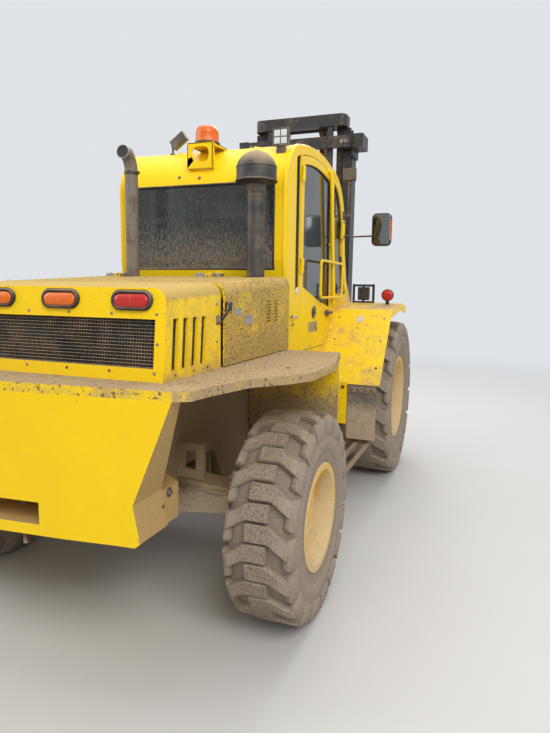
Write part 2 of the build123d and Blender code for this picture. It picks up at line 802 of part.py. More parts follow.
glass = 8
with BuildPart() as cab_glass:
    add(cab_region([(600, rear_window_low + seat_gap), (850, rear_window_low + seat_gap),
                    (850, rear_window_high - seat_gap), (600, rear_window_high - seat_gap)],
                   12, -cab_inner + 25 + seat_gap, cab_inner - 25 - seat_gap))
    add(cab_slab(12 + glass, -cab_inner, cab_inner), mode=Mode.SUBTRACT)
    with BuildPart(mode=Mode.PRIVATE) as screen:
        add(cab_region([(roof_front + seat_gap, wind_low + seat_gap), (2500, wind_low + seat_gap),
                        (2500, 2600), (roof_front + seat_gap, 2600)], 12, -cab_inner + seat_gap,
                       cab_inner - seat_gap))
        add(cab_slab(12 + glass, -cab_inner, cab_inner), mode=Mode.SUBTRACT)
    add(screen.part)
    for side in (-1, 1):
        x_low = side * (cab_half_width - 22) - glass / 2
        add(cab_region(rear_quarter_points, pillar + seat_gap, x_low, x_low + glass))
        add(cab_region(front_quarter_points, pillar + 20 + seat_gap, x_low, x_low + glass))
finish(cab_glass.part, "cab_glass")

door_thickness = 40
door_frame = 50
grab_out = 40
grab_back = 1360
grab_front = 1960
grab_low = 1475
grab_high = 1730
for name, side in side_extra:
    x_low = min(side * cab_half_width, side * (cab_half_width - door_thickness))
    with BuildPart() as door:
        add(cab_region(door_points, pillar, x_low, x_low + door_thickness))
        window = [(door_back + door_frame, 1545), (1500, 1440), (1752, 1400), (1695, 2600),
                  (door_back + door_frame, 2600)]
        add(cab_region(window, pillar + door_frame, x_low - 1, x_low + door_thickness + 1), mode=Mode.SUBTRACT)
        for z in hinge_heights:
            x_skin = side * cab_half_width
            add(block(min(x_skin, x_skin + side * 8), max(x_skin, x_skin + side * 8), hinge_ahead, door_back + 50,
                      z, z + hinge_length))
            add(upright(side * hinge_x, hinge_ahead, z, z + hinge_length, hinge_radius))
        x_face = side * cab_half_width
        add(block(min(x_face, x_face + side * 26), max(x_face, x_face + side * 26), 1660, 1700, 1330, 1350))
        add(ring_bar(x_face + side * grab_out, grab_back, grab_front, grab_low, grab_high, 8, 40))
        for ahead, z in ((1738, grab_high), (1765, grab_low)):
            add(cross_rod(min(x_face, x_face + side * grab_out), max(x_face, x_face + side * grab_out), ahead,
                          z, 8))
    finish(door.part, f"door_{name}")
    with BuildPart() as door_glass:
        x_glass = side * (cab_half_width - door_thickness / 2) - glass / 2
        add(cab_region(window, pillar + door_frame + seat_gap, x_glass, x_glass + glass))
    finish(door_glass.part, f"door_glass_{name}")

# Cab interior
seat_ahead = 1130
with BuildPart() as seat:
    add(block(-170, 170, seat_ahead + 40, seat_ahead + 400, cab_floor_top, 1330))
    add(block(-240, 240, seat_ahead, seat_ahead + 480, 1330, 1450))
    add(side_plate([(seat_ahead - 60, 1450), (seat_ahead + 60, 1450), (seat_ahead, 2000),
                    (seat_ahead - 100, 2000)], -230, 230))
finish(seat.part, "seat")

column_foot = (0, 2120, cab_floor_top)
wheel_centre = (0, 1830, 1740)
column_axis = Vector(0, y_at(wheel_centre[1]) - y_at(column_foot[1]), wheel_centre[2] - column_foot[2]).normalized()
with BuildPart() as console:
    foot = Vector(0, y_at(column_foot[1]), column_foot[2])
    add(block(-70, 70, 2030, 2200, cab_floor_top, cab_floor_top + 60))
    with BuildSketch(Plane(origin=foot + column_axis * 60, z_dir=column_axis)):
        Circle(32)
    extrude(amount=(wheel_centre[2] - column_foot[2]) / column_axis.Z - 60 - seat_gap)
    add(block(260, 420, 1150, 1900, cab_floor_top, 1400))
    add(block(-300, 300, 2240, 2330, cab_floor_top, 1420))
    for number in range(4):
        add(upright(-300 - 40 * number, 1750, 1380, 1560, 8))
    add(block(-440, -280, 1690, 1810, cab_floor_top, 1380))
finish(console.part, "console")

with BuildPart() as steering_wheel:
    centre = Vector(0, y_at(wheel_centre[1]), wheel_centre[2])
    for radius, mode in ((187, Mode.ADD), (165, Mode.SUBTRACT)):
        with BuildSketch(Plane(origin=centre + column_axis * 28, z_dir=column_axis)):
            RegularPolygon(radius, 32)
        extrude(amount=22, mode=mode)
    with BuildSketch(Plane(origin=centre, z_dir=column_axis)):
        Circle(34)
    extrude(amount=36)
    with BuildSketch(Plane(origin=centre + column_axis * 22, z_dir=column_axis)):
        with PolarLocations(95, 3):
            Rectangle(160, 26)
    extrude(amount=16)
finish(steering_wheel.part, "steering_wheel")

# Front fenders with their slanted rear plate
fender_low = (1460, 870)
fender_bend = (1880, 1385)
fender_high = (2300, 1430)
fender_end = (2640, 1400)
fender_sheet = 12
fender_outer = 1030
flap_inner = 806
with BuildPart() as front_fenders:
    for side in (-1, 1):
        x_low = min(side * (cab_half_width + seat_gap), side * fender_outer)
        width = fender_outer - cab_half_width - seat_gap
        add(
            side_plate(
                [
                    fender_low, fender_bend, fender_high, fender_end, (fender_end[0] - 4, fender_end[1] - 12),
                    (fender_high[0], fender_high[1] - fender_sheet),
                    (fender_bend[0] + 6, fender_bend[1] - fender_sheet),
                    (fender_low[0] + 15, fender_low[1]),
                ],
                x_low, x_low + width,
            )
        )
        lip_low = min(side * (fender_outer - 8), side * fender_outer)
        add(side_plate([fender_bend, fender_high, fender_end, (fender_end[0], fender_end[1] - 60),
                        (fender_high[0], fender_high[1] - 60), (fender_bend[0] + 10, fender_bend[1] - 60),
                        (fender_bend[0] - 50, fender_bend[1] - 62)],
                       lip_low, lip_low + 8))
        hanger_low = min(side * 600, side * (flap_inner - gap))
        add(block(hanger_low, hanger_low + flap_inner - gap - 600, 1462, 1472, 580, fender_low[1] + 10))
finish(front_fenders.part, "front_fenders")

tank_half = 855
with BuildPart() as side_tanks:
    for side in (-1, 1):
        x_low = min(side * rail_outer, side * tank_half)
        add(block(x_low, x_low + tank_half - rail_outer, 640, 1000, 600, cab_floor_bottom - seat_gap))
finish(side_tanks.part, "side_tanks")

step_height = 420
with BuildPart() as steps:
    for side in (-1, 1):
        for x in (785, 868, 950):
            add(block(side * x - 12, side * x + 12, 760, 1550, step_height, step_height + 22))
        for ahead in (760, 1530):
            x_low = min(side * rail_outer, side * 962)
            add(block(x_low, x_low + 562, ahead, ahead + 20, step_height, step_height + 45))
        for ahead in (760, 1530):
            x_low = min(side * rail_outer, side * (rail_outer + 12))
            add(block(x_low, x_low + 12, ahead, ahead + 20, step_height, 560))
finish(steps.part, "steps")

with BuildPart() as mud_flaps:
    for side in (-1, 1):
        x_low = min(side * flap_inner, side * 1010)
        add(block(x_low, x_low + 1010 - flap_inner, 1462, 1472, 475, fender_low[1] - seat_gap))
finish(mud_flaps.part, "mud_flaps")

# Stacks behind the cab: the exhaust pipe with its bent tip, and the air cleaner under its bowl
exhaust_top = 2250
stack_foot = deck_top + seat_gap
with BuildPart() as exhaust:
    add(upright(exhaust_x, stack_ahead, stack_foot, exhaust_top, exhaust_radius))
    tip_bend = Line((exhaust_x, y_at(stack_ahead), exhaust_top), (exhaust_x, y_at(stack_ahead), exhaust_top + 5))
    tip_end = (exhaust_x, y_at(stack_ahead - 45), exhaust_top + 80)
    tip_arc = TangentArc(tip_bend @ 1, tip_end, tangent=(0, 0, 1))
    with BuildSketch(Plane.XY.offset(exhaust_top)):
        with Locations((exhaust_x, y_at(stack_ahead))):
            Circle(exhaust_radius)
    sweep(path=Wire([tip_bend, tip_arc]))
    with BuildSketch(Plane(origin=tip_arc @ 1, z_dir=tip_arc % 1)):
        Circle(exhaust_radius - 5)
    extrude(amount=-60, mode=Mode.SUBTRACT)
finish(exhaust.part, "exhaust")

bowl_low = 2128
bowl_high = 2200
bowl_top = 2288
with BuildPart() as pre_cleaner:
    add(upright(cleaner_x, stack_ahead, stack_foot, bowl_low + 5, cleaner_radius))
    with BuildSketch(Plane.XZ.offset(-y_at(stack_ahead))):
        with BuildLine():
            Polyline((cleaner_x, bowl_low - 22), (cleaner_x + cleaner_radius + 4, bowl_low - 22),
                     (cleaner_x + cleaner_dome_radius, bowl_low), (cleaner_x + cleaner_dome_radius, bowl_high))
            ThreePointArc((cleaner_x + cleaner_dome_radius, bowl_high), (cleaner_x + 88, bowl_high + 52),
                          (cleaner_x + 20, bowl_top))
            Polyline((cleaner_x + 20, bowl_top), (cleaner_x, bowl_top), (cleaner_x, bowl_low - 22))
        make_face()
    revolve(axis=Axis((cleaner_x, y_at(stack_ahead), 0), (0, 0, 1)))
finish(pre_cleaner.part, "pre_cleaner")

# Lamps: two on the cab roof, one on each front pillar and one in a guard on each front fender
with BuildPart() as work_lights:
    # Left roof lamp on a stalk
    add(upright(296, 950, 2340, 2440, 7))
    add(block(200, 310, 925, 965, 2436, 2510))
    # Right roof lamp
    add(block(-530, -472, 838, 862, 2300, 2372))
    add(block(-552, -450, 828, 872, 2365, 2472))
    add(cab_slab(-seat_gap, -cab_half_width, cab_half_width), mode=Mode.SUBTRACT)
    for side in (-1, 1):
        arm_low = min(side * (cab_half_width + seat_gap), side * 640)
        add(block(arm_low, arm_low + 640 - cab_half_width - seat_gap, 2080, 2120, 2110, 2122))
        add(upright(side * 615, 2100, 2118, 2400, 7))
        add(block(side * 615 - 52, side * 615 + 52, 2078, 2128, 2385, 2485))
finish(work_lights.part, "work_lights")

guard_low = fender_high[1] + seat_gap
guard_top = 1580
lamp_ahead = 2200
fender_rise = (fender_high[1] - fender_bend[1]) / (fender_high[0] - fender_bend[0])
lamp_foot = fender_bend[1] + (lamp_ahead + 4 - fender_bend[0]) * fender_rise + seat_gap
with BuildPart() as fender_lamps:
    for side in (-1, 1):
        for x in (637, 803):
            add(block(side * x - 9, side * x + 9, 2291, 2309, guard_low, guard_top))
        add(block(side * 720 - 92, side * 720 + 92, 2291, 2309, guard_top - 18, guard_top))
        add(block(side * 720 - 92, side * 720 + 92, 2285, 2315, guard_low, guard_low + 12))
        add(block(side * 720 - 45, side * 720 + 45, 2282, 2340, guard_low + 20, guard_top - 22))
        add(block(side * 720 - 8, side * 720 + 8, 2291, 2309, guard_low, guard_top))
        add(block(side * 938 - 14, side * 938 + 14, lamp_ahead - 4, lamp_ahead + 4, lamp_foot, 1475))
        with BuildSketch(Plane.XZ.offset(-y_at(lamp_ahead - 10))):
            with Locations((side * 938, 1495)):
                Circle(48)
        extrude(amount=26)
finish(fender_lamps.part, "fender_lamps")

# Mirrors on thin arms at the front pillars
mirror_ahead = 2300
with BuildPart() as mirrors:
    for side in (-1, 1):
        add(block(min(side * (cab_half_width + seat_gap), side * 592), max(side * (cab_half_width + seat_gap),
                  side * 592), 2040, 2100, 1935, 2075))
        add(bent_bar([(side * 586, 2075, 1960), (side * 640, 2200, 1962), (side * 800, 2290, 1975)], 7, 60))
        with BuildPart(mode=Mode.PRIVATE) as head:
            add(block(side * 852 - 78, side * 852 + 78, mirror_ahead - 22, mirror_ahead + 22, 1893, 2153))
            fillet(head.edges().filter_by(Axis.Y), 38)
        add(head.part)
finish(mirrors.part, "mirrors")

beacon_base = 2425
with BuildPart() as beacon:
    add(block(-92, 84, 700, 712, 2250, beacon_base - 22))
    add(block(-60, 52, 699, 713, 2300, 2385), mode=Mode.SUBTRACT)
    add(block(-92, 84, 700, 960, beacon_base - 24, beacon_base - 12))
    for x in (-86, 78):
        add(block(x - 6, x + 6, 700, 780, 2250, beacon_base - 12))
        add(block(x - 6, x + 6, 940, 960, 2330, beacon_base - 12))
    add(cab_slab(-seat_gap, -cab_half_width, cab_half_width), mode=Mode.SUBTRACT)
    add(upright(-4, 860, beacon_base - 14, beacon_base, 80))
    add(upright(-4, 860, beacon_base - 1, beacon_base + 100, 73))
    chamfer(beacon.edges().sort_by(Axis.Z)[-1:], 12)
finish(beacon.part, "beacon")

# Mast: outer channels with the inner channels nested in them
rail_front = rail_back_ahead + rail_depth
mast_mid = rail_back_ahead + rail_depth / 2


def channel(side):
    """Outer channel, open towards the middle."""
    web_low = min(side * rail_outer_x, side * (rail_outer_x - rail_web))
    flange_low = min(side * rail_outer_x, side * rail_flange_inner_x)
    width = rail_outer_x - rail_flange_inner_x
    top = outer_mast_top - 80
    with BuildPart() as rail:
        add(block(web_low, web_low + rail_web, rail_back_ahead, rail_front, outer_mast_bottom, top))
        add(block(flange_low, flange_low + width, rail_back_ahead, rail_back_ahead + rail_flange,
                  outer_mast_bottom, top))
        add(block(flange_low, flange_low + width, rail_front - rail_flange, rail_front, outer_mast_bottom, top))
    return rail.part


cross_back = 2612
cross_front = 2650
anchor_height = 1180
inner_back = mast_mid - inner_depth / 2
inner_front = mast_mid + inner_depth / 2
outer_crosses = [
    # z_low, z_high
    (350, 450),
    (1080, 1180),
    (outer_mast_top - 100, outer_mast_top),
]
with BuildPart() as mast_outer:
    for side in (-1, 1):
        add(channel(side))
        x_low = min(side * 415, side * 455)
        add(side_plate([(mast_pivot_ahead, mast_pivot_height - 52), (rail_back_ahead + 2, mast_pivot_height - 90),
                        (rail_back_ahead + 2, mast_pivot_height + 90), (mast_pivot_ahead, mast_pivot_height + 52)],
                       x_low, x_low + 40))
        add(cross_rod(x_low, x_low + 40, mast_pivot_ahead, mast_pivot_height, 60))
        add(cross_rod(x_low - 1, x_low + 41, mast_pivot_ahead, mast_pivot_height,
                      mast_pivot_radius + pin_clearance), mode=Mode.SUBTRACT)
        for x in (side * (tilt_cylinder_x - 32), side * (tilt_cylinder_x + 32)):
            add(side_plate([(tilt_eye_ahead, tilt_eye_height - 26), (rail_back_ahead + 2, tilt_eye_height - 60),
                            (rail_back_ahead + 2, tilt_eye_height + 60), (tilt_eye_ahead, tilt_eye_height + 26)],
                           x - 7, x + 7))
            add(cross_rod(x - 7, x + 7, tilt_eye_ahead, tilt_eye_height, 30))
        add(cross_rod(side * tilt_cylinder_x - 39, side * tilt_cylinder_x + 39, tilt_eye_ahead,
                      tilt_eye_height, tilt_pin_radius))
        for z_low, z_high in outer_crosses:
            x_low = min(side * 360, side * rail_outer_x)
            add(block(x_low, x_low + 120, cross_back, rail_back_ahead, z_low, z_high))
        add(block(min(side * 430, side * 590), max(side * 430, side * 590), 2660, rail_front - 20,
                  outer_mast_top - 95, outer_mast_top + 20))
        add(block(min(side * 300, side * 500), max(side * 300, side * 500), 2660, rail_front + 5,
                  outer_mast_top - 95, outer_mast_top + 30), mode=Mode.SUBTRACT)
        add(block(min(side * rail_outer_x, side * 500), max(side * rail_outer_x, side * 500), 2700, rail_front,
                  outer_mast_top - 160, outer_mast_top - 50))
    for z_low, z_high in outer_crosses:
        add(block(-rail_outer_x, rail_outer_x, cross_back, cross_front, z_low, z_high))
    for side in (-1, 1):
        add(upright(side * lift_barrel_x, lift_barrel_ahead, 380, 2600, lift_barrel_radius))
        add(upright(side * lift_barrel_x, lift_barrel_ahead, 2560, 2600, 44))
        for z_low, z_high in outer_crosses[:2]:
            add(block(side * lift_barrel_x - 45, side * lift_barrel_x + 45, cross_front, lift_barrel_ahead,
                      z_low, z_high))
        add(block(side * chain_x - chain_width / 2, side * chain_x + chain_width / 2, cross_front - 1,
                  inner_back - 7, anchor_height - 30, anchor_height))
        add(upright(side * lift_barrel_x, lift_barrel_ahead, 400, 2550, lift_rod_radius + 2), mode=Mode.SUBTRACT)
        add(upright(side * lift_barrel_x, lift_barrel_ahead, 2549, 2601, lift_rod_radius + pin_clearance),
            mode=Mode.SUBTRACT)
finish(mast_outer.part, "mast_outer")

head_low = inner_mast_top - mast_head_height
inner_crosses = [
    # z_low, z_high
    (320, 400),
    (1500, 1580),
]
with BuildPart() as mast_inner:
    for side in (-1, 1):
        web_low = min(side * inner_web_x, side * (inner_web_x + inner_web))
        add(block(web_low, web_low + inner_web, inner_back, inner_front, inner_mast_bottom, head_low))
        flange_low = min(side * inner_inner_x, side * inner_outer_x)
        for ahead in (inner_back, inner_front - inner_flange):
            add(block(flange_low, flange_low + inner_outer_x - inner_inner_x, ahead, ahead + inner_flange,
                      inner_mast_bottom, head_low))
        add(upright(side * lift_barrel_x, lift_barrel_ahead, 420, head_low, lift_rod_radius))
    with BuildSketch(Plane.XY.offset(head_low)):
        with Locations((0, y_at((lift_barrel_ahead - 40 + inner_front) / 2))):
            RectangleRounded(2 * 430, inner_front - lift_barrel_ahead + 40, 60)
    extrude(amount=mast_head_height)
    add(block(-300, 300, lift_barrel_ahead + 40, inner_front + 1, head_low - 1, inner_mast_top + 1),
        mode=Mode.SUBTRACT)
    for z_low, z_high in inner_crosses:
        add(block(-inner_web_x, inner_web_x, inner_back, inner_back + inner_flange, z_low, z_high))
    for side in (-1, 1):
        x = side * chain_x
        add(cross_rod(x - 26, x + 26, mast_mid, head_low + 20, sheave_radius - chain_thickness / 2 - seat_gap))
        add(cross_rod(x - 34, x - 26, mast_mid, head_low + 20, sheave_radius + 4))
        add(cross_rod(x + 26, x + 34, mast_mid, head_low + 20, sheave_radius + 4))
    add(cross_rod(-300, 300, mast_mid, head_low + 20, 24))
finish(mast_inner.part, "mast_inner")

# Carriage with its bars, backrest and forks
strand_foot = 790
bar_back = rail_front + 12
bar_front = fork_face_ahead - fork_thickness
carriage_half = 640
plate_x = 280
with BuildPart() as carriage:
    for z_low, z_high in ((110, 210), (600, 700)):
        add(block(-carriage_half, carriage_half, bar_back, bar_front, z_low, z_high))
    for side in (-1, 1):
        add(block(min(side * plate_x, side * (plate_x + 30)), max(side * plate_x, side * (plate_x + 30)),
                  inner_back + inner_flange + gap, bar_front, 110, 760))
        add(block(side * chain_x - chain_width / 2, side * chain_x + chain_width / 2,
                  mast_mid + sheave_radius - chain_thickness, bar_back + 20, 660, strand_foot))
        for z in (200, 660):
            add(cross_rod(min(side * plate_x, side * (inner_web_x - gap)), max(side * plate_x,
                          side * (inner_web_x - gap)), mast_mid, z, 28))
        add(block(min(side * (carriage_half - 30), side * carriage_half),
                  max(side * (carriage_half - 30), side * carriage_half), bar_back, bar_front, 110, 1250))
    for x in (-450, -270, -90, 90, 270, 450):
        add(block(x - 12, x + 12, bar_back + 20, bar_front - 10, 700, 1250))
    add(block(-carriage_half, carriage_half, bar_back, bar_front, 1220, 1260))
finish(carriage.part, "carriage")

fork_bottom = fork_clearance
with BuildPart() as forks:
    for side in (-1, 1):
        x = side * fork_x
        with BuildPart(mode=Mode.PRIVATE) as fork:
            add(
                side_plate(
                    [
                        (bar_front + seat_gap, fork_bottom), (front_reach, fork_bottom),
                        (front_reach, fork_bottom + 12), (fork_face_ahead + 500, fork_bottom + fork_thickness),
                        (fork_face_ahead, fork_bottom + fork_thickness), (fork_face_ahead, fork_height),
                        (bar_front + seat_gap, fork_height),
                    ],
                    x - fork_width / 2, x + fork_width / 2,
                )
            )
            tips = fork.edges().filter_by(Axis.Z).sort_by(Axis.Y)[:2]
            chamfer(tips, 45)
            heel = fork.edges().filter_by(Axis.X).sort_by_distance(
                Vector(x, y_at(bar_front), fork_bottom))[:1]
            fillet(heel, 45)
        add(fork.part)
finish(forks.part, "forks")

# Lift chains: four flat strands that run up to the sheaves
strand_top = head_low + 20
strands = [
    # node, ahead, foot
    ("chains_front", mast_mid + sheave_radius, strand_foot + seat_gap),
    ("chains_rear", mast_mid - sheave_radius, anchor_height + seat_gap),
]
for node, ahead, foot in strands:
    with BuildPart() as chains:
        for side in (-1, 1):
            add(block(side * chain_x - chain_width / 2, side * chain_x + chain_width / 2,
                      ahead - chain_thickness / 2, ahead + chain_thickness / 2, foot, strand_top))
    finish(chains.part, node)

# Tilt cylinders between the frame and the mast
barrel_radius = 40
rod_radius = 20
tilt_eye_radius = tilt_pin_radius + tilt_eye_play + 11
tilt_run = Vector(0, y_at(tilt_eye_ahead) - y_at(tilt_base_ahead), tilt_eye_height - tilt_base_height)
tilt_length = tilt_run.length
tilt_axis = tilt_run.normalized()
for name, side in side_extra:
    base = Vector(side * tilt_cylinder_x, y_at(tilt_base_ahead), tilt_base_height)
    eye = Vector(side * tilt_cylinder_x, y_at(tilt_eye_ahead), tilt_eye_height)
    with BuildPart() as barrel:
        with BuildSketch(Plane(origin=base + tilt_axis * 30, z_dir=tilt_axis)):
            Circle(barrel_radius)
        extrude(amount=tilt_length - 30 - 290)
        add(cross_rod(base.X - 24, base.X + 24, tilt_base_ahead, tilt_base_height, 34))
        add(cross_rod(base.X - 60, base.X + 60, tilt_base_ahead, tilt_base_height,
                      tilt_pin_radius + pin_clearance), mode=Mode.SUBTRACT)
        with BuildSketch(Plane(origin=base + tilt_axis * 90, z_dir=tilt_axis)):
            Circle(rod_radius + 6)
        extrude(amount=tilt_length - 290 - 120, mode=Mode.SUBTRACT)
        with BuildSketch(Plane(origin=base + tilt_axis * 200, z_dir=tilt_axis)):
            Circle(rod_radius + pin_clearance)
        extrude(amount=tilt_length, mode=Mode.SUBTRACT)
    finish(barrel.part, f"tilt_barrel_{name}")
    with BuildPart() as tilt_rod:
        with BuildSketch(Plane(origin=eye - tilt_axis * (tilt_eye_radius - 4), z_dir=-tilt_axis)):
            Circle(rod_radius)
        extrude(amount=700)
        add(cross_rod(eye.X - 20, eye.X + 20, tilt_eye_ahead, tilt_eye_height, tilt_eye_radius))
        add(cross_rod(eye.X - 60, eye.X + 60, tilt_eye_ahead, tilt_eye_height, tilt_pin_radius + tilt_eye_play),
            mode=Mode.SUBTRACT)
    finish(tilt_rod.part, f"tilt_rod_{name}")
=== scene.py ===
import math
from itertools import product

import bmesh
import bpy
from mathutils import Matrix, Vector, noise


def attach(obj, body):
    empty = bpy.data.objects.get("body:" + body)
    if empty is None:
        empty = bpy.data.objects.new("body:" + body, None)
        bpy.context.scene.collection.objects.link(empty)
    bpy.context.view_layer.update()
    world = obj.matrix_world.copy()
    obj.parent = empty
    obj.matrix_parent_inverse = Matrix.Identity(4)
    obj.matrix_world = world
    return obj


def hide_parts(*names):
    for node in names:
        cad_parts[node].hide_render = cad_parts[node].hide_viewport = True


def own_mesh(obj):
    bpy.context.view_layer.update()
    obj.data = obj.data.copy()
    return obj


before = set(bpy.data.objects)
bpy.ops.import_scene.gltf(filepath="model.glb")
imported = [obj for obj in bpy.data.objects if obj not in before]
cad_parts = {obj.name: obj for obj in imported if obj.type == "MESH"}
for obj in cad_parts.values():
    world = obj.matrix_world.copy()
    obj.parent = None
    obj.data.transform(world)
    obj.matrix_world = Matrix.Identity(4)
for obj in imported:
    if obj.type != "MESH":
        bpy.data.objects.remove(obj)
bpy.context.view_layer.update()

# Places are (across, ahead, height) in metres; ahead is the distance in front of the rear axle
REAR_AXLE_Y = 1.6725
UP, DOWN, FORWARD, BACKWARD = (0, 0, 1), (0, 0, -1), (0, -1, 0), (0, 1, 0)
OUT = None  # stands for away from the middle, on either side
OCTAGON = ((-1, -0.8), (-0.8, -1), (0.8, -1), (1, -0.8), (1, 0.8), (0.8, 1), (-0.8, 1), (-1, 0.8))
SIDES = (("left", 1), ("right", -1))


def at(x, ahead, z):
    return Vector((x, REAR_AXLE_Y - ahead, z))


# Camera, at the place the photograph was taken from
CAMERA_PLACE = (-1.714, 4.1035, 1.523)
YAW_PITCH_ROLL = (20.585, 7.714, 0.866)
LENS_MM = 27.76
yaw, pitch, roll = (math.radians(a) for a in YAW_PITCH_ROLL)
look = Vector((math.sin(yaw) * math.cos(pitch), -math.cos(yaw) * math.cos(pitch), -math.sin(pitch)))
right = Vector((-math.cos(yaw), -math.sin(yaw), 0))
up = right.cross(look)
right_rolled = right * math.cos(roll) + up * math.sin(roll)
up_rolled = up * math.cos(roll) - right * math.sin(roll)
camera_data = bpy.data.cameras.new("photo_camera")
camera_data.lens = LENS_MM
camera_data.clip_start = 0.05
camera_data.clip_end = 200
camera = bpy.data.objects.new("photo_camera", camera_data)
rotation = Matrix((right_rolled, up_rolled, -look)).transposed()
camera.matrix_world = Matrix.Translation(CAMERA_PLACE) @ rotation.to_4x4()
bpy.context.collection.objects.link(camera)
bpy.context.scene.camera = camera

scene = bpy.context.scene
scene.view_settings.view_transform = "Standard"


# Materials
def put(tree, target, value):
    """Link a socket to an input, or set the input's value."""
    if isinstance(value, bpy.types.NodeSocket):
        tree.links.new(value, target)
    elif target.type == "RGBA" and len(value) == 3:
        target.default_value = (*value, 1)
    else:
        target.default_value = value


def new_node(tree, kind, inputs, output=0, **settings):
    """New shader node, its inputs given by name or number; one of its outputs comes back."""
    node = tree.nodes.new("ShaderNode" + kind)
    for label, value in settings.items():
        setattr(node, label, value)
    for label, value in inputs.items():
        put(tree, node.inputs[label], value)
    return node.outputs[output]


class Net:
    """Short hand for one node tree around a Principled shader."""

    def __init__(self, name):
        self.material = bpy.data.materials.new(name)
        self.material.use_nodes = True
        self.tree = self.material.node_tree
        self.shader = self.tree.nodes["Principled BSDF"]
        coord = self.tree.nodes.new("ShaderNodeTexCoord")
        self.place = coord.outputs["Object"]
        self.facing = coord.outputs["Normal"]

    def add(self, kind, inputs, output=0, **settings):
        return new_node(self.tree, kind, inputs, output, **settings)

    def math(self, operation, a, b=0.0, c=0.0, clamp=False):
        return self.add("Math", {0: a, 1: b, 2: c}, operation=operation, use_clamp=clamp)

    def times(self, a, b, plus=None):
        """The product, with a third value added if there is one."""
        return self.math("MULTIPLY", a, b) if plus is None else self.math("MULTIPLY_ADD", a, b, plus)

    def plus(self, a, b):
        return self.math("ADD", a, b)

    def minus(self, a, b, clamp=False):
        return self.math("SUBTRACT", a, b, clamp=clamp)

    def larger(self, a, b):
        return self.math("MAXIMUM", a, b)

    def size(self, a):
        return self.math("ABSOLUTE", a)

    def split(self, vector):
        node = self.tree.nodes.new("ShaderNodeSeparateXYZ")
        put(self.tree, node.inputs[0], vector)
        return node.outputs

    def ramp(self, value, low, high, out_low=0.0, out_high=1.0, kind="SMOOTHSTEP"):
        return self.add("MapRange", {0: value, 1: low, 2: high, 3: out_low, 4: out_high},
                        interpolation_type=kind)

    def noise(self, scale, detail, rough, stretch=None):
        vector = self.place
        if stretch:
            vector = self.add("Mapping", {"Vector": vector, "Scale": stretch})
        return self.add("TexNoise", {"Vector": vector, "Scale": scale, "Detail": detail, "Roughness": rough},
                        "Fac")

    def waves(self, scale, direction):
        return self.add("TexWave", {"Vector": self.place, "Scale": scale}, "Fac", bands_direction=direction)

    def mix(self, factor, a, b):
        return self.add("Mix", {0: factor, 6: a, 7: b}, 2, data_type="RGBA")

    def bump(self, height, strength, distance):
        inputs = {"Strength": strength, "Distance": distance, "Height": height}
        put(self.tree, self.shader.inputs["Normal"], self.add("Bump", inputs))

    def done(self, colour, rough, metal=0.0, **others):
        inputs = {"Base Color": colour, "Roughness": rough, "Metallic": metal, **others}
        for label, value in inputs.items():
            put(self.tree, self.shader.inputs[label.replace("_", " ")], value)
        return self.material


YELLOW = (0.9, 0.6, 0.004)
TAN = (0.42, 0.285, 0.15)
PALE_TAN = (0.52, 0.385, 0.225)
MUD = (0.2, 0.128, 0.066)


def shade(colour, share):
    """The colour, made lighter or darker."""
    return tuple(min(1, c * share) for c in colour)


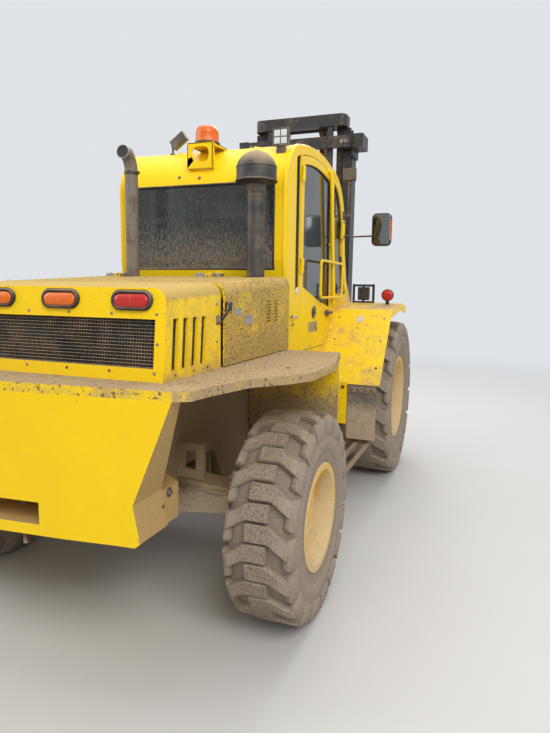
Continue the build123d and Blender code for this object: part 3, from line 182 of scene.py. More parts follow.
def dusty(name, base, top=1.0, side=0.2, back=0.0, front=0.2, low=(0.3, 1.0), low_amount=0.9, specks=0.3,
          rough=0.38, wear=None, dust=TAN, metal=0.0, mud=MUD, streaks=0.0, pepper=0.0):
    """Paint under dust: thick on what faces up, by side, and near the ground, with dried splashes."""
    net = Net(name)
    z = net.split(net.place)[2]
    nx, ny, nz = net.split(net.facing)
    broad = net.noise(3.1, 5, 0.6)
    middle = net.noise(19, 5, 0.62)
    fine = net.noise(130, 3, 0.6)
    amount = net.times(net.larger(nz, 0.0), top)
    amount = net.times(net.size(nx), side, amount)
    amount = net.times(net.larger(ny, 0.0), back, amount)
    amount = net.times(net.larger(net.times(ny, -1.0), 0.0), front, amount)
    depth = net.ramp(z, low[1], low[0])
    amount = net.times(depth, low_amount, amount)
    ragged = net.times(broad, 0.7, net.times(middle, 0.6, -0.65))
    ragged = net.times(fine, 0.25, net.minus(ragged, 0.125))
    cover = net.ramp(net.plus(amount, ragged), 0.28, 0.72)
    tint = net.mix(broad, shade(base, 0.93), shade(base, 1.06))
    grit = net.mix(net.times(fine, 0.5, net.times(middle, 0.5)),
                   shade(dust, 0.72), shade(dust, 1.22))
    film = net.times(cover, 0.93, net.times(middle, 0.07))
    colour = net.mix(film, tint, grit)
    # Dried splashes in clusters
    drops = net.noise(75, 2, 0.5)
    edge = net.times(broad, -0.22, 0.8 - 0.2 * specks)
    spots = net.ramp(drops, edge, net.plus(edge, 0.035))
    spots = net.times(spots, min(1.0, 3 * specks, 0.45 + specks))
    colour = net.mix(spots, colour, net.mix(fine, shade(mud, 0.7), mud))
    if pepper:
        grains = net.noise(165, 4, 0.72, stretch=(1.0, 1.0, 0.5))
        grains = net.ramp(grains, 0.62 - 0.12 * pepper, 0.7 - 0.08 * pepper)
        sided = net.ramp(net.size(nx), 0.3, 0.8, 0.15, 1.0)
        lower = net.ramp(net.times(broad, 0.35, z), 1.75, 1.35, 0.35, 1.0)
        grains = net.times(grains, net.times(sided, lower))
        colour = net.mix(net.times(grains, pepper), colour, mud)
    if wear:
        scuffs = net.ramp(net.noise(34, 6, 0.72, stretch=(1.0, 1.0, 0.35)), 0.67, 0.7)
        colour = net.mix(net.times(scuffs, 0.85), colour, wear)
    if streaks:
        run = net.ramp(net.noise(26, 3, 0.6, stretch=(1.0, 1.0, 0.07)), 0.56, 0.7)
        colour = net.mix(net.times(run, streaks), colour, mud)
    shine = net.ramp(net.plus(cover, spots), 0.0, 1.0, rough, 0.93)
    height = net.times(net.plus(cover, spots), 0.5, net.times(fine, 0.6))
    net.bump(height, 0.35, 0.0016)
    return net.done(colour, shine, metal, Specular_IOR_Level=0.2)


def plastic(name, base, dust=0.25, rough=0.55, grain=260):
    """Moulded plastic or rubber with a fine grain and dust in its upper faces."""
    net = Net(name)
    nz = net.split(net.facing)[2]
    broad = net.noise(9, 4, 0.6)
    fine = net.noise(grain, 2, 0.5)
    film = net.times(net.larger(nz, 0.0), 0.6, dust)
    film = net.ramp(net.times(broad, 0.8, net.minus(film, 0.4)), 0.1, 0.9)
    colour = net.mix(film, base, net.mix(fine, shade(TAN, 0.8), PALE_TAN))
    net.bump(fine, 0.2, 0.0008)
    return net.done(colour, net.ramp(film, 0.0, 1.0, rough, 0.92))


def metal(name, base, rough, rust, rust_colour=(0.16, 0.062, 0.022), brushed=None, metallic=1.0):
    """Bare metal with spots of rust or grime, brushed along one direction if that is given."""
    net = Net(name)
    broad = net.noise(12, 6, 0.65)
    fine = net.noise(160, 3, 0.6, stretch=brushed)
    spots = net.ramp(net.times(fine, 0.35, broad), 0.8 - rust * 0.55, 0.98 - rust * 0.45)
    colour = net.mix(spots, net.mix(fine, shade(base, 0.78), base),
                     net.mix(fine, rust_colour, shade(rust_colour, 1.9)))
    net.bump(net.times(spots, 0.6, fine), 0.25, 0.001)
    return net.done(colour, net.ramp(spots, 0.0, 1.0, rough, 0.9), metallic)


def lens(name, base, spread=0.12):
    """Coloured lamp lens with its inner ribs seen through it."""
    net = Net(name)
    ribs = net.waves(95, "X")
    colour = net.mix(net.times(ribs, 0.5), base, shade(base, 0.45))
    film = net.ramp(net.noise(40, 4, 0.6), 0.55, 0.8)
    colour = net.mix(net.times(film, 0.18), colour, PALE_TAN)
    net.bump(ribs, 0.3, 0.001)
    return net.done(colour, net.ramp(film, 0.0, 1.0, spread, 0.6), Specular_IOR_Level=0.35, Coat_Weight=0.15)


def glazing(name, tint, film=0.1, muddy=None):
    """Window glass with a film of dust and, low on the rear pane, dried mud."""
    net = Net(name)
    y, z = net.split(net.place)[1:]
    broad = net.noise(5, 4, 0.6)
    haze = net.times(net.ramp(broad, 0.35, 0.8), film, film * 0.5)
    if muddy:
        low, high, amount = muddy
        share = net.times(net.ramp(z, high, low, kind="LINEAR"), net.ramp(y, 0.5, 0.8))
        runs = net.noise(95, 4, 0.7, stretch=(1.0, 1.0, 0.3))
        grains = net.noise(240, 3, 0.7)
        crust = net.times(runs, 0.5, net.times(grains, 0.5))
        crust = net.ramp(net.times(share, 0.135, crust), 0.555, 0.615)
        wash = net.times(share, 0.3)
        haze = net.larger(net.larger(haze, wash), net.times(crust, amount))
    grit = net.mix(net.ramp(net.noise(170, 3, 0.6), 0.38, 0.62), (0.085, 0.066, 0.046), (0.34, 0.27, 0.18))
    colour = net.mix(haze, tint, grit)
    clear = net.minus(0.97, haze, clamp=True)
    rough = net.ramp(haze, 0.0, 0.6, 0.04, 0.8)
    return net.done(colour, rough, Transmission_Weight=clear, IOR=1.45)


def tyre_rubber(name, radius, tread):
    """Rubber under grey-brown dust: gritty, speckled tops, with painted shade on the groove floors and a
    painted highlight along the lug edges.
    """
    net = Net(name)
    x, y, z = net.split(net.place)
    far = net.math("SQRT", net.times(y, y, net.times(z, z)))
    broad = net.noise(6, 5, 0.62)
    middle = net.noise(42, 6, 0.68)
    fine = net.noise(230, 3, 0.6)
    light = net.mix(net.times(middle, 0.7, net.times(broad, 0.3)),
                    (0.172, 0.134, 0.101), (0.395, 0.318, 0.238))
    grains = net.ramp(net.noise(120, 4, 0.7), 0.46, 0.66)
    on_top = net.ramp(far, radius - 0.012, radius - 0.004)
    colour = net.mix(net.times(net.times(on_top, 0.45, 0.3), grains), light,
                     (0.06, 0.046, 0.035))
    # Painted shade: the floors of the grooves between the lugs are darkened
    groove = net.ramp(far, radius - tread * 1.02, radius - tread * 0.45)
    tread_zone = net.ramp(net.size(x), 5.4 * tread, tread * 4.6)
    shaded_floor = net.times(net.minus(1.0, groove), tread_zone)
    groove_shade = net.mix(fine, (0.075, 0.06, 0.046), (0.15, 0.12, 0.09))
    colour = net.mix(net.times(shaded_floor, 0.28), colour, groove_shade)
    # Painted highlight: a lighter band along the bevelled edges of the lugs
    edge_highlight = net.times(net.ramp(far, radius - 0.0066, radius - 0.0045),
                          net.ramp(far, radius - 0.0012, radius - 0.003))
    colour = net.mix(net.times(edge_highlight, 0.55), colour, (0.34, 0.285, 0.22))
    flecks = net.ramp(net.noise(85, 2, 0.5), 0.68, 0.72)
    colour = net.mix(net.times(flecks, 0.55), colour, (0.36, 0.29, 0.21))
    net.bump(net.times(middle, 0.8, fine), 0.5, 0.003)
    return net.done(colour, net.ramp(middle, 0.2, 0.8, 0.8, 0.97))


def seat_cloth():
    """Dark woven cloth, worn and dusty in places."""
    net = Net("seat_cloth")
    weave = net.times(net.waves(330, "X"), net.waves(330, "Z"))
    wear = net.noise(14, 4, 0.6)
    dust = net.ramp(net.noise(60, 5, 0.7), 0.55, 0.8)
    colour = net.mix(weave, (0.024, 0.024, 0.027), (0.06, 0.06, 0.066))
    colour = net.mix(net.ramp(wear, 0.4, 0.75, 0.0, 0.5), colour, (0.095, 0.088, 0.08))
    colour = net.mix(net.times(dust, 0.25), colour, TAN)
    net.bump(net.times(wear, 0.6, weave), 0.35, 0.0012)
    return net.done(colour, 0.85, Sheen_Weight=0.25)


paint_back = dusty("paint_counterweight", YELLOW, top=0.9, side=0.92, back=0.03, front=0.9, low=(0.38, 0.6),
                   low_amount=0.55, specks=0.0, rough=0.33, dust=(0.4, 0.265, 0.115), wear=(0.27, 0.155, 0.06),
                   pepper=0.45)
paint_housing = dusty("paint_housing", YELLOW, top=1.1, side=0.36, back=0.02, front=0.5, low=(1.15, 1.26),
                      low_amount=0.25, specks=0.12, rough=0.35, dust=(0.47, 0.325, 0.105), pepper=0.55)
paint_hood = dusty("paint_hood", YELLOW, top=1.1, side=0.62, back=0.2, front=0.4, low=(1.15, 1.34),
                   low_amount=0.4, specks=0.55, rough=0.38, dust=(0.46, 0.315, 0.095), streaks=0.45,
                   pepper=0.95)
paint_cab = dusty("paint_cab", YELLOW, top=0.12, side=0.1, back=0.16, front=0.2, low=(1.0, 1.5),
                  low_amount=0.35, specks=0.04, rough=0.36)
paint_fender = dusty("paint_fender", YELLOW, top=0.62, side=0.2, back=0.02, front=0.9, low=(0.8, 1.05),
                     low_amount=0.12, specks=0.22, rough=0.35)
paint_deck = dusty("paint_deck", YELLOW, top=1.4, side=0.66, back=0.35, front=0.9, low=(0.6, 1.12),
                   low_amount=0.9, specks=0.5, rough=0.5, wear=(0.85, 0.55, 0.02), dust=(0.35, 0.255, 0.15),
                   pepper=0.4)
# Low chassis paint: a darker copy of the body yellow, which is painted shade, with real dust over it
shaded_chassis_paint = dusty("paint_chassis_shaded", (0.62, 0.4, 0.02), top=1.0, side=0.88, back=0.74, front=0.8,
                  low=(0.45, 1.3), low_amount=0.6, specks=0.25, rough=0.6, dust=(0.255, 0.19, 0.122),
                  pepper=0.6)
caked = dusty("caked_mud", (0.3, 0.22, 0.13), top=1.0, side=1.0, back=1.0, front=1.0, low=(0.45, 1.2),
              low_amount=0.6, specks=0.2, rough=0.9, dust=(0.5, 0.385, 0.265), mud=(0.15, 0.105, 0.065),
              pepper=0.75)
paint_steel = dusty("paint_mast", (0.03, 0.032, 0.036), top=0.7, side=0.22, back=0.3, front=0.3,
                    low=(0.2, 1.6), low_amount=0.35, specks=0.25, rough=0.42, wear=(0.16, 0.075, 0.035),
                    dust=(0.3, 0.215, 0.13))
black_parts = dusty("paint_black", (0.022, 0.022, 0.024), top=0.6, side=0.15, back=0.18, front=0.15,
                    low=(0.4, 1.2), low_amount=0.4, specks=0.15, rough=0.45, dust=(0.32, 0.24, 0.15))
fork_steel = dusty("paint_forks", (0.055, 0.053, 0.05), top=0.35, side=0.3, back=0.3, front=0.35,
                   low=(0.0, 0.3), low_amount=0.3, specks=0.3, rough=0.35, wear=(0.3, 0.28, 0.26), metal=0.4)
flap = dusty("flap_rubber", (0.12, 0.11, 0.1), top=0.5, side=0.3, back=0.36, front=0.5, low=(0.5, 0.82),
             low_amount=0.85, specks=0.35, rough=0.75, dust=(0.44, 0.335, 0.225), pepper=0.3)
rubber = plastic("seal_rubber", (0.02, 0.02, 0.021), 0.12, 0.6)
black_plastic = plastic("moulded_black", (0.024, 0.024, 0.026), 0.22, 0.5)
pale_plastic = plastic("moulded_white", (0.66, 0.64, 0.6), 0.1, 0.45)
bright_steel = metal("bright_steel", (0.62, 0.61, 0.58), 0.22, 0.02, brushed=(1, 1, 0.05))
bolt_steel = metal("bolt_steel", (0.4, 0.38, 0.35), 0.4, 0.35)
dull_steel = metal("dull_plate", (0.44, 0.43, 0.4), 0.45, 0.12)
chain_steel = metal("chain_steel", (0.15, 0.12, 0.09), 0.55, 0.55, (0.115, 0.052, 0.024), metallic=0.6)
exhaust_steel = metal("exhaust_steel", (0.215, 0.185, 0.155), 0.7, 0.22, (0.085, 0.06, 0.042), metallic=0.15)
iron = metal("engine_iron", (0.1, 0.095, 0.088), 0.6, 0.4, (0.13, 0.085, 0.05), metallic=0.3)
core = metal("radiator_core", (0.05, 0.05, 0.05), 0.5, 0.2, (0.16, 0.11, 0.07), (1, 1, 0.02), metallic=0.6)
amber_lens = lens("amber_lens", (0.8, 0.15, 0.004), 0.22)
red_lens = lens("red_lens", (0.55, 0.018, 0.01))
clear_lens = lens("clear_lens", (0.72, 0.74, 0.76))
mirror_face = metal("mirror_face", (0.2, 0.21, 0.22), 0.12, 0.0)
orange_edge = plastic("orange_edge", (0.8, 0.2, 0.015), 0.08, 0.45)
lamp_black = plastic("lamp_housing", (0.04, 0.04, 0.042), 0.3, 0.45)
cloth = seat_cloth()
cab_glazing = glazing("window_glass", (0.17, 0.19, 0.2), 0.1, (1.6, 2.0, 0.9))
door_glazing = glazing("door_window_glass", (0.18, 0.21, 0.23), 0.07)


for material, nodes in (
        (paint_back, "counterweight"),
        (paint_housing, "rear_housing"),
        (paint_hood, "hood"),
        (paint_cab, "cab_sides cab_roof cab_rear_wall cab_front_wall door_left door_right"),
        (paint_fender, "front_fenders"),
        (paint_deck, "rear_deck"),
        (shaded_chassis_paint, "frame front_axle steps side_tanks tilt_barrel_left tilt_barrel_right"),
        (caked, "rear_axle knuckle_left knuckle_right"),
        (paint_steel, "mast_outer mast_inner carriage"),
        (black_parts, "mirrors fender_lamps work_lights cab_floor"),
        (fork_steel, "forks"),
        (flap, "mud_flaps"),
        (bright_steel, "tilt_rod_left tilt_rod_right"),
        (bolt_steel, "hitch_pin"),
        (exhaust_steel, "exhaust"),
        (iron, "engine_block"),
        (core, "cooling_pack"),
        (rubber, "rear_lamps"),
        (black_plastic, "pre_cleaner console"),
        (cab_glazing, "cab_glass"),
        (door_glazing, "door_glass_left door_glass_right")):
    for node in nodes.split():
        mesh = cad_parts[node].data
        if not mesh.materials:
            mesh.materials.append(material)
        for number in range(len(mesh.materials)):
            mesh.materials[number] = material


# Shapes
def turns(count, start=0.0):
    """Evenly spread angles of a full turn."""
    return [2 * math.pi * (k + start) / count for k in range(count)]


class Shape:
    """Rings of points joined into closed forms, all in one mesh."""

    def __init__(self):
        self.bm = bmesh.new()

    def rings(self, rings, closed=False):
        rows = [[self.bm.verts.new(p) for p in ring] for ring in rings]
        count = len(rows[0])
        pairs = list(zip(rows, rows[1:])) + ([(rows[-1], rows[0])] if closed else [])
        for low, high in pairs:
            for i in range(count):
                j = (i + 1) % count
                self.bm.faces.new((low[i], low[j], high[j], high[i]))
        if not closed:
            self.bm.faces.new(rows[0])
            self.bm.faces.new(rows[-1][::-1])
        return self

    def side(self, points, x0, x1):
        """Outline of (ahead, height) points, as thick as from x0 to x1."""
        return self.rings([[at(x, a, z) for a, z in points] for x in sorted((x0, x1))])

    def box(self, x0, x1, a0, a1, z0, z1):
        return self.side(((a0, z0), (a1, z0), (a1, z1), (a0, z1)), x0, x1)

    def slab(self, side, near, far, a0, a1, z0, z1):
        """Box at one side of the machine, between two distances from its middle."""
        return self.box(side * near, side * far, a0, a1, z0, z1)

    def lathe(self, profile, centre, axis, count=48, closed=False):
        """Profile of (along, radius) round an axis through a centre."""
        axis = Vector(axis).normalized()
        one = axis.orthogonal().normalized()
        two = axis.cross(one)
        spokes = [one * math.cos(t) + two * math.sin(t) for t in turns(count)]
        return self.rings([[Vector(centre) + axis * along + spoke * max(r, 1e-4) for spoke in spokes]
                           for along, r in profile], closed)

    def rod(self, start, end, radius, count=16, chamfer=0.0):
        start, end = Vector(start), Vector(end)
        run = (end - start).length
        c = min(chamfer, radius * 0.5, run * 0.4)
        profile = [(0, radius), (run, radius)]
        if c:
            profile = [(0, radius - c), (c, radius), (run - c, radius), (run, radius - c)]
        return self.lathe(profile, start, end - start, count)

    def tube(self, points, radius, count=8, closed=False, flat=None):
        """Bar along points; flat is a second half-size across its first direction."""
        points = [Vector(p) for p in points]
        total = len(points)
        rings = []
        side = None
        for i, point in enumerate(points):
            before = points[i - 1] if i or closed else point
            after = points[(i + 1) % total] if i < total - 1 or closed else point
            run = (after - before).normalized()
            if side is None:
                side = run.orthogonal().normalized() if abs(run.x) > 0.9 else run.cross(Vector((1, 0, 0)))
            side = (side - run * side.dot(run)).normalized()
            other = run.cross(side)
            rings.append([point + side * (math.cos(t) * radius) + other * (math.sin(t) * (flat or radius))
                          for t in turns(count, 0.5)])
        return self.rings(rings, closed)

    def hex(self, place, axis, radius, height):
        """Bolt head with its washer."""
        axis = Vector(axis).normalized()
        self.lathe([(0, radius * 1.5), (height * 0.2, radius * 1.5)], place, axis, 14)
        return self.lathe([(0, radius), (height * 0.85, radius), (height, radius * 0.8)], place, axis, 6)

    def dome(self, place, axis, radius, height):
        """Low round head of a screw."""
        return self.lathe([(0, radius), (height * 0.5, radius * 0.92), (height * 0.85, radius * 0.6),
                           (height, radius * 0.12)], place, axis, 14)

    def fasten(self, head, xs, aheads, heights, axis, radius, height):
        """Heads at every place of a grid, on both sides; each of the three is a number or a tuple."""
        spans = [span if isinstance(span, tuple) else (span,) for span in (xs, aheads, heights)]
        for side, x, ahead, z in product((-1, 1), *spans):
            head(self, at(side * x, ahead, z), axis or (side, 0, 0), radius, height)

    def piece(self, name, material, slot=None, body="chassis", bevel=0.0, sharp=35, centre=None):
        bmesh.ops.recalc_face_normals(self.bm, faces=self.bm.faces)
        if centre is not None:
            bmesh.ops.translate(self.bm, verts=self.bm.verts, vec=-Vector(centre))
        mesh = bpy.data.meshes.new(name)
        self.bm.to_mesh(mesh)
        self.bm.free()
        mesh.shade_smooth()
        mesh.set_sharp_from_angle(angle=math.radians(sharp))
        piece = bpy.data.objects.new(name, mesh)
        bpy.context.collection.objects.link(piece)
        mesh.materials.append(material)
        if centre is not None:
            piece.location = centre
        if bevel:
            edges = piece.modifiers.new("edges", "BEVEL")
            edges.width = bevel
            edges.segments = 2
            edges.limit_method = "ANGLE"
            edges.angle_limit = math.radians(40)
            edges.harden_normals = True
        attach(piece, body)
        return piece


def smooth_line(points, steps):
    """Catmull-Rom line through points."""
    points = [Vector(p) for p in points]
    line = []
    for p0, p1, p2, p3 in zip(points[:1] + points, points, points[1:], points[2:] + points[-1:]):
        for k in range(steps):
            t = k / steps
            line.append(0.5 * ((2 * p1) + (p2 - p0) * t + (2 * p0 - 5 * p1 + 4 * p2 - p3) * t * t
                               + (3 * p1 - p0 - 3 * p2 + p3) * t ** 3))
    return line + points[-1:]


# Tyres: a rounded carcass with sidewall ribs, and bevelled chevron lugs with centre blocks
def tyre(node, body, centre, radius, width, bead, flange, rim_width, lugs, height, material):
    """Lugs stand height over the carcass; bead, flange and rim_width are those of the rim."""
    half = width / 2
    carcass = radius - height
    shape = Shape()

    def spot(s, t, r):
        turn = t / radius
        return centre + Vector((s, r * math.sin(turn), r * math.cos(turn)))

    inner = rim_width / 2 - 0.0146
    wall = carcass - flange
    sidewall = [(inner, bead + 0.001), (inner, flange - 0.004), (inner + 0.012, flange + 0.006),
                (half * 0.9, flange + wall * 0.2), (half * 0.905, flange + wall * 0.23),
                (half * 0.93, flange + wall * 0.25), (half * 0.965, flange + wall * 0.42),
                (half * 0.975, flange + wall * 0.5), (half * 0.955, flange + wall * 0.53),
                (half * 0.95, flange + wall * 0.66), (half * 0.9, flange + wall * 0.85),
                (half * 0.8, carcass - 0.01), (half * 0.55, carcass - 0.002), (half * 0.25, carcass)]
    outline = sidewall + [(0, carcass)] + [(-s, r) for s, r in reversed(sidewall)]
    outline += [(-inner + 0.01, bead + 0.001), (inner - 0.01, bead + 0.001)]
    around = 2 * math.pi * radius
    count = lugs * 8
    shape.rings([[spot(s, around * k / count, r) for s, r in outline] for k in range(count)], closed=True)
    pitch = around / lugs
    block = half * 0.3
    fall = math.tan(math.radians(33))
    stations = [
        # across, height of the top over the carcass, share of the half length, step back
        (-block - 0.002, 0.0, 0.222, 0.0), (-block + 0.003, 1.0, 0.214, 0.0), (-block * 0.3, 1.0, 0.216, 0.0),
        (block * 0.5, 1.0, 0.216, 0.0), (block + 0.004, 0.99, 0.214, 0.3), (half * 0.46, 0.975, 0.208, 1.0),
        (half * 0.62, 0.95, 0.204, 1.0), (half * 0.76, 0.9, 0.2, 1.0), (half * 0.86, 0.78, 0.2, 1.0),
        (half * 0.905, 0.55, 0.2, 0.7), (half * 0.93, 0.1, 0.2, 0.5),
    ]
    for side in (-1, 1):
        for number in range(lugs):
            start = pitch * (number + (0.5 if side > 0 else 0))
            rings = []
            back = 0.0
            before = block
            for s, top, share, step in stations:
                if s > block:
                    back += (s - before) * fall * step
                    before = s
                wave = 1 + 0.02 * math.sin(number * 5.3 + s * 40)
                w = share * pitch * wave
                crown = carcass + height * top
                base = carcass - 0.012 - (0.03 if s > half * 0.9 else 0.0)
                lower = max(base + 0.002, crown - 0.006)
                flat = 1 - 0.0045 / w
                section = [(-1.1, base), (-1.01, lower), (-flat, crown), (flat, crown), (1.01, lower),
                           (1.1, base)]
                rings.append([spot(side * s, start + back + w * k, max(r, base)) for k, r in section])
            shape.rings(rings)
            # Smooth pad below the end of the lug, down to the sidewall
            pad = []
            for share, up, wide in ((0.8, height * 0.5, 0.3), (0.9, height * 0.56, 0.36),
                                    (0.955, height * 0.2, 0.42), (0.985, -0.02, 0.44),
                                    (0.99, -0.052, 0.44), (0.955, -0.074, 0.42)):
                s, r, w = half * share, carcass + up, wide * pitch
                deep = max(half * 0.7, s - 0.03)
                pad.append([spot(side * x, start + back + 0.1 * pitch + w * k, r - d)
                            for k, x, d in ((-1.0, deep, 0.016), (-0.97, s - 0.003, 0.002), (-0.9, s, 0.0),
                                            (0.9, s, 0.0), (0.97, s - 0.003, 0.002), (1.0, deep, 0.016))])
            shape.rings(pad)
    piece = shape.piece(f"{node}_dressed", material, "tyre_rubber", body=body, sharp=48, centre=centre)
    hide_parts(node)


def rim(node, body, centre, side, flange, bead, width, disc, hub, hub_in, hub_out, bore, bolts, material):
    """Rim with rounded flanges, a dished disc, a hub cap, wheel nuts and a valve."""
    half, lip, wall = width / 2, 0.014, 0.012
    barrel, taper = bead - 0.022, 0.072
    inner = barrel - wall
    outline = [(-half, flange - 0.004), (-half + 0.003, flange), (-half + lip - 0.004, flange),
               (-half + lip, flange - 0.005), (-half + lip, bead), (-half + taper, barrel),
               (half - taper, barrel), (half - lip, bead), (half - lip, flange - 0.005),
               (half - lip + 0.004, flange), (half - 0.003, flange), (half, flange - 0.004),
               (half, bead - wall + 0.004),
               (half - 0.004, bead - wall), (half - taper + 0.02, inner + 0.006), (half - taper, inner),
               (disc + 0.02, inner), (disc + 0.01, inner - 0.008), (disc - 0.006, hub + 0.085),
               (disc - 0.014, hub + 0.06), (disc - 0.014, hub + 0.004), (disc - 0.01, hub),
               (hub_out - 0.03, hub - 0.004), (hub_out - 0.012, hub - 0.014), (hub_out - 0.012, hub * 0.62),
               (hub_out - 0.004, hub * 0.58), (hub_out, hub * 0.5), (hub_out, 0.0002),
               (hub_out - 0.03, 0.0002), (hub_out - 0.03, bore), (hub_in, bore), (hub_in, hub),
               (disc - 0.028, hub), (disc - 0.028, hub + 0.062), (disc, inner), (-half + taper, inner),
               (-half, bead - wall)]
    axis = Vector((side, 0, 0))
    shape = Shape().lathe(outline, centre, axis, 96, closed=True)
    for turn in turns(bolts):
        place = centre + axis * (disc - 0.014) + Vector((0, math.cos(turn), math.sin(turn))) * (hub + 0.032)
        shape.hex(place, axis, 0.0145, 0.02)
        shape.rod(place + axis * 0.018, place + axis * 0.03, 0.008, 10, 0.001)
    for turn in turns(6, 0.5):
        place = centre + axis * (hub_out - 0.012) + Vector((0, math.cos(turn), math.sin(turn))) * hub * 0.78
        shape.hex(place, axis, 0.0065, 0.008)
    out = Vector((0, 0.6, 0.8))
    valve = centre + axis * (disc + 0.02) + out * (barrel - 0.04)
    shape.tube([valve, valve + axis * 0.02 - out * 0.004, valve + axis * 0.05 - out * 0.018], 0.004, 8)
    piece = shape.piece(f"{node}_dressed", material, "body_yellow", body=body, sharp=32, centre=centre)
    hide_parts(node)


rim_paint = dusty("paint_rims", (0.72, 0.4, 0.012), top=0.9, side=0.5, back=0.6, front=0.6, low=(-0.45, 0.05),
                  low_amount=0.4, specks=0.1, rough=0.55, dust=(0.58, 0.435, 0.235), pepper=0.25)
WHEELS = {
    # Tyre: radius, width, bead, flange, rim width, lugs a side, lug height
    # Rim: disc, hub radius, hub inside and outside, bore, wheel nuts
    "front": ((0.857, 2.394, 0.6375), (0.6375, 0.395, 0.3175, 0.346, 0.336, 16, 0.034),
              (0.03, 0.12, -0.157, 0.12, 0.0602, 10)),
    "rear": ((0.902, 0, 0.4825), (0.4825, 0.31, 0.2286, 0.2525, 0.282, 18, 0.028),
             (0.025, 0.074, -0.06, 0.086, 0.0352, 8)),
}
for end, ((out, ahead, height), sizes, disc) in WHEELS.items():
    radius, width, bead, flange, rim_width, lugs, tread = sizes
    tread_rubber = tyre_rubber(f"{end}_tyre_rubber", radius, tread)
    for name, side in SIDES:
        centre = at(side * out, ahead, height)
        tyre(f"{end}_tyre_{name}", f"{end}_wheel_{name}", centre, *sizes, tread_rubber)
        rim(f"{end}_rim_{name}", f"{end}_wheel_{name}", centre, side, flange, bead, rim_width, *disc,
            rim_paint)


# Rear housing: woven mesh behind the opening, lamp lenses, screws
def back_face(z):
    return -0.688 + (z - 1.182) * 0.10234


def on_back(x, z, out=0.0):
    """Place on the leaning rear face, a distance out from it."""
    return at(x, back_face(z) - out, z - out * 0.1)


back_normal = Vector((0, 1, -0.102)).normalized()
MESH_OUT = -0.0145
wires = Shape()
for i in range(95):
    x = -0.585 + 1.17 * i / 94
    wires.tube([on_back(x, 1.225 + 0.19 * k / 4, MESH_OUT + 0.0006 * (-1) ** (i + k)) for k in range(5)],
               0.0016, 4)
for j in range(15):
    z = 1.23 + 0.18 * j / 14
    wires.tube([on_back(-0.59 + 1.18 * k / 24, z, MESH_OUT + 0.0006 * (-1) ** (j + k)) for k in range(25)],
               0.0016, 4)
for x0, x1, low, high in ((-0.599, 0.599, 1.216, 1.232), (-0.599, 0.599, 1.408, 1.424),
                          (-0.599, -0.583, 1.216, 1.424), (0.583, 0.599, 1.216, 1.424)):
    wires.rings([[on_back(x, z, out) for z, out in ((low, -0.0125), (high, -0.0125), (high, -0.0172),
                                                    (low, -0.0172))] for x in (x0, x1)])
grille = wires.piece("rear_grille_mesh", black_plastic, "black_paint", sharp=60)
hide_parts("rear_grille")

slot_mesh = Shape()
for side, ahead in product((-1, 1), (-0.592, -0.517, -0.442, -0.369)):
    for k in range(5):
        a = ahead - 0.016 + 0.008 * k
        slot_mesh.tube([at(side * 0.613, a - 0.018, 1.214), at(side * 0.613, a, 1.417)], 0.0014, 4)
    for k in range(26):
        z = 1.218 + 0.0077 * k
        a = ahead - 0.018 + (z - 1.219) * 0.0933
        slot_mesh.tube([at(side * 0.6125, a - 0.022, z), at(side * 0.6125, a + 0.022, z)], 0.0014, 4)
slot_mesh.piece("side_slot_mesh", black_plastic, "black_paint", sharp=60)


def stadium(centre_x, centre_z, half_x, half_z, out):
    """Points of an upright slot on the leaning rear face."""
    points = []
    for sign in (1, -1):
        for k in range(11):
            turn = math.pi / 2 - math.pi * k / 10
            points.append(on_back(centre_x + sign * (half_x - half_z + half_z * math.cos(turn)),
                                  centre_z + sign * half_z * math.sin(turn), out))
    return points


LENS_Z = 1.478
for x, material, label in ((-0.485, red_lens, "red_right"), (-0.158, amber_lens, "amber_right"),
                           (0.158, amber_lens, "amber_left"), (0.485, red_lens, "red_left")):
    cover = Shape()
    cover.rings([stadium(x, LENS_Z, hx, hz, out) for hx, hz, out in
                 ((0.074, 0.024, 0.0098), (0.074, 0.024, 0.012), (0.072, 0.022, 0.0165),
                  (0.064, 0.015, 0.0195), (0.05, 0.006, 0.0205))])
    cover.piece(f"rear_lens_{label}", material, sharp=50)
    lip = Shape()
    lip.tube(stadium(x, LENS_Z, 0.0805, 0.0305, 0.0085), 0.0065, 8, closed=True)
    lip.piece(f"rear_grommet_{label}", rubber, sharp=60)

screws = Shape()
for x, z in [*product((-0.591, -0.394, -0.197, 0.0, 0.197, 0.394, 0.591), (1.214, 1.428)),
             (-0.598, 1.32), (0.598, 1.32)]:
    screws.dome(on_back(x, z), back_normal, 0.0062, 0.0035)
screws.fasten(Shape.dome, 0.628, (-0.6, -0.46, -0.34), 1.202, OUT, 0.0065, 0.004)
screws.fasten(Shape.dome, 0.628, -0.255, (1.3, 1.46), OUT, 0.0065, 0.004)
screws.dome(at(0, -0.25, 1.5576), UP, 0.0065, 0.004)
screws.fasten(Shape.dome, (0.26, 0.52), -0.25, 1.5576, UP, 0.0065, 0.004)
screws.piece("housing_screws", bolt_steel)

# Hood: latches with their rubber straps, screws, small blank plates, louvre hoods
for name, side in SIDES:
    strap = Shape()
    strap.tube(smooth_line([at(side * x, a, z) for x, a, z in
                            ((0.642, -0.19, 1.445), (0.652, -0.198, 1.442), (0.658, -0.212, 1.432),
                             (0.656, -0.228, 1.415), (0.648, -0.238, 1.398))], 5), 0.013, 8, flat=0.0045)
    strap.rod(at(side * 0.643, -0.18, 1.448), at(side * 0.655, -0.18, 1.448), 0.019, 20, 0.002)
    strap.slab(side, 0.642, 0.652, -0.205, -0.15, 1.428, 1.468)
    strap.piece(f"hood_strap_{name}", rubber, body="hood_lid", bevel=0.0012)
    catch = Shape()
    catch.slab(side, 0.628, 0.632, -0.262, -0.225, 1.372, 1.412)
    catch.rod(at(side * 0.628, -0.243, 1.384), at(side * 0.642, -0.243, 1.384), 0.006, 12, 0.001)
    catch.dome(at(side * 0.632, -0.254, 1.405), (side, 0, 0), 0.004, 0.003)
    catch.piece(f"hood_catch_{name}", bolt_steel, bevel=0.0008)
lid_bits = Shape()
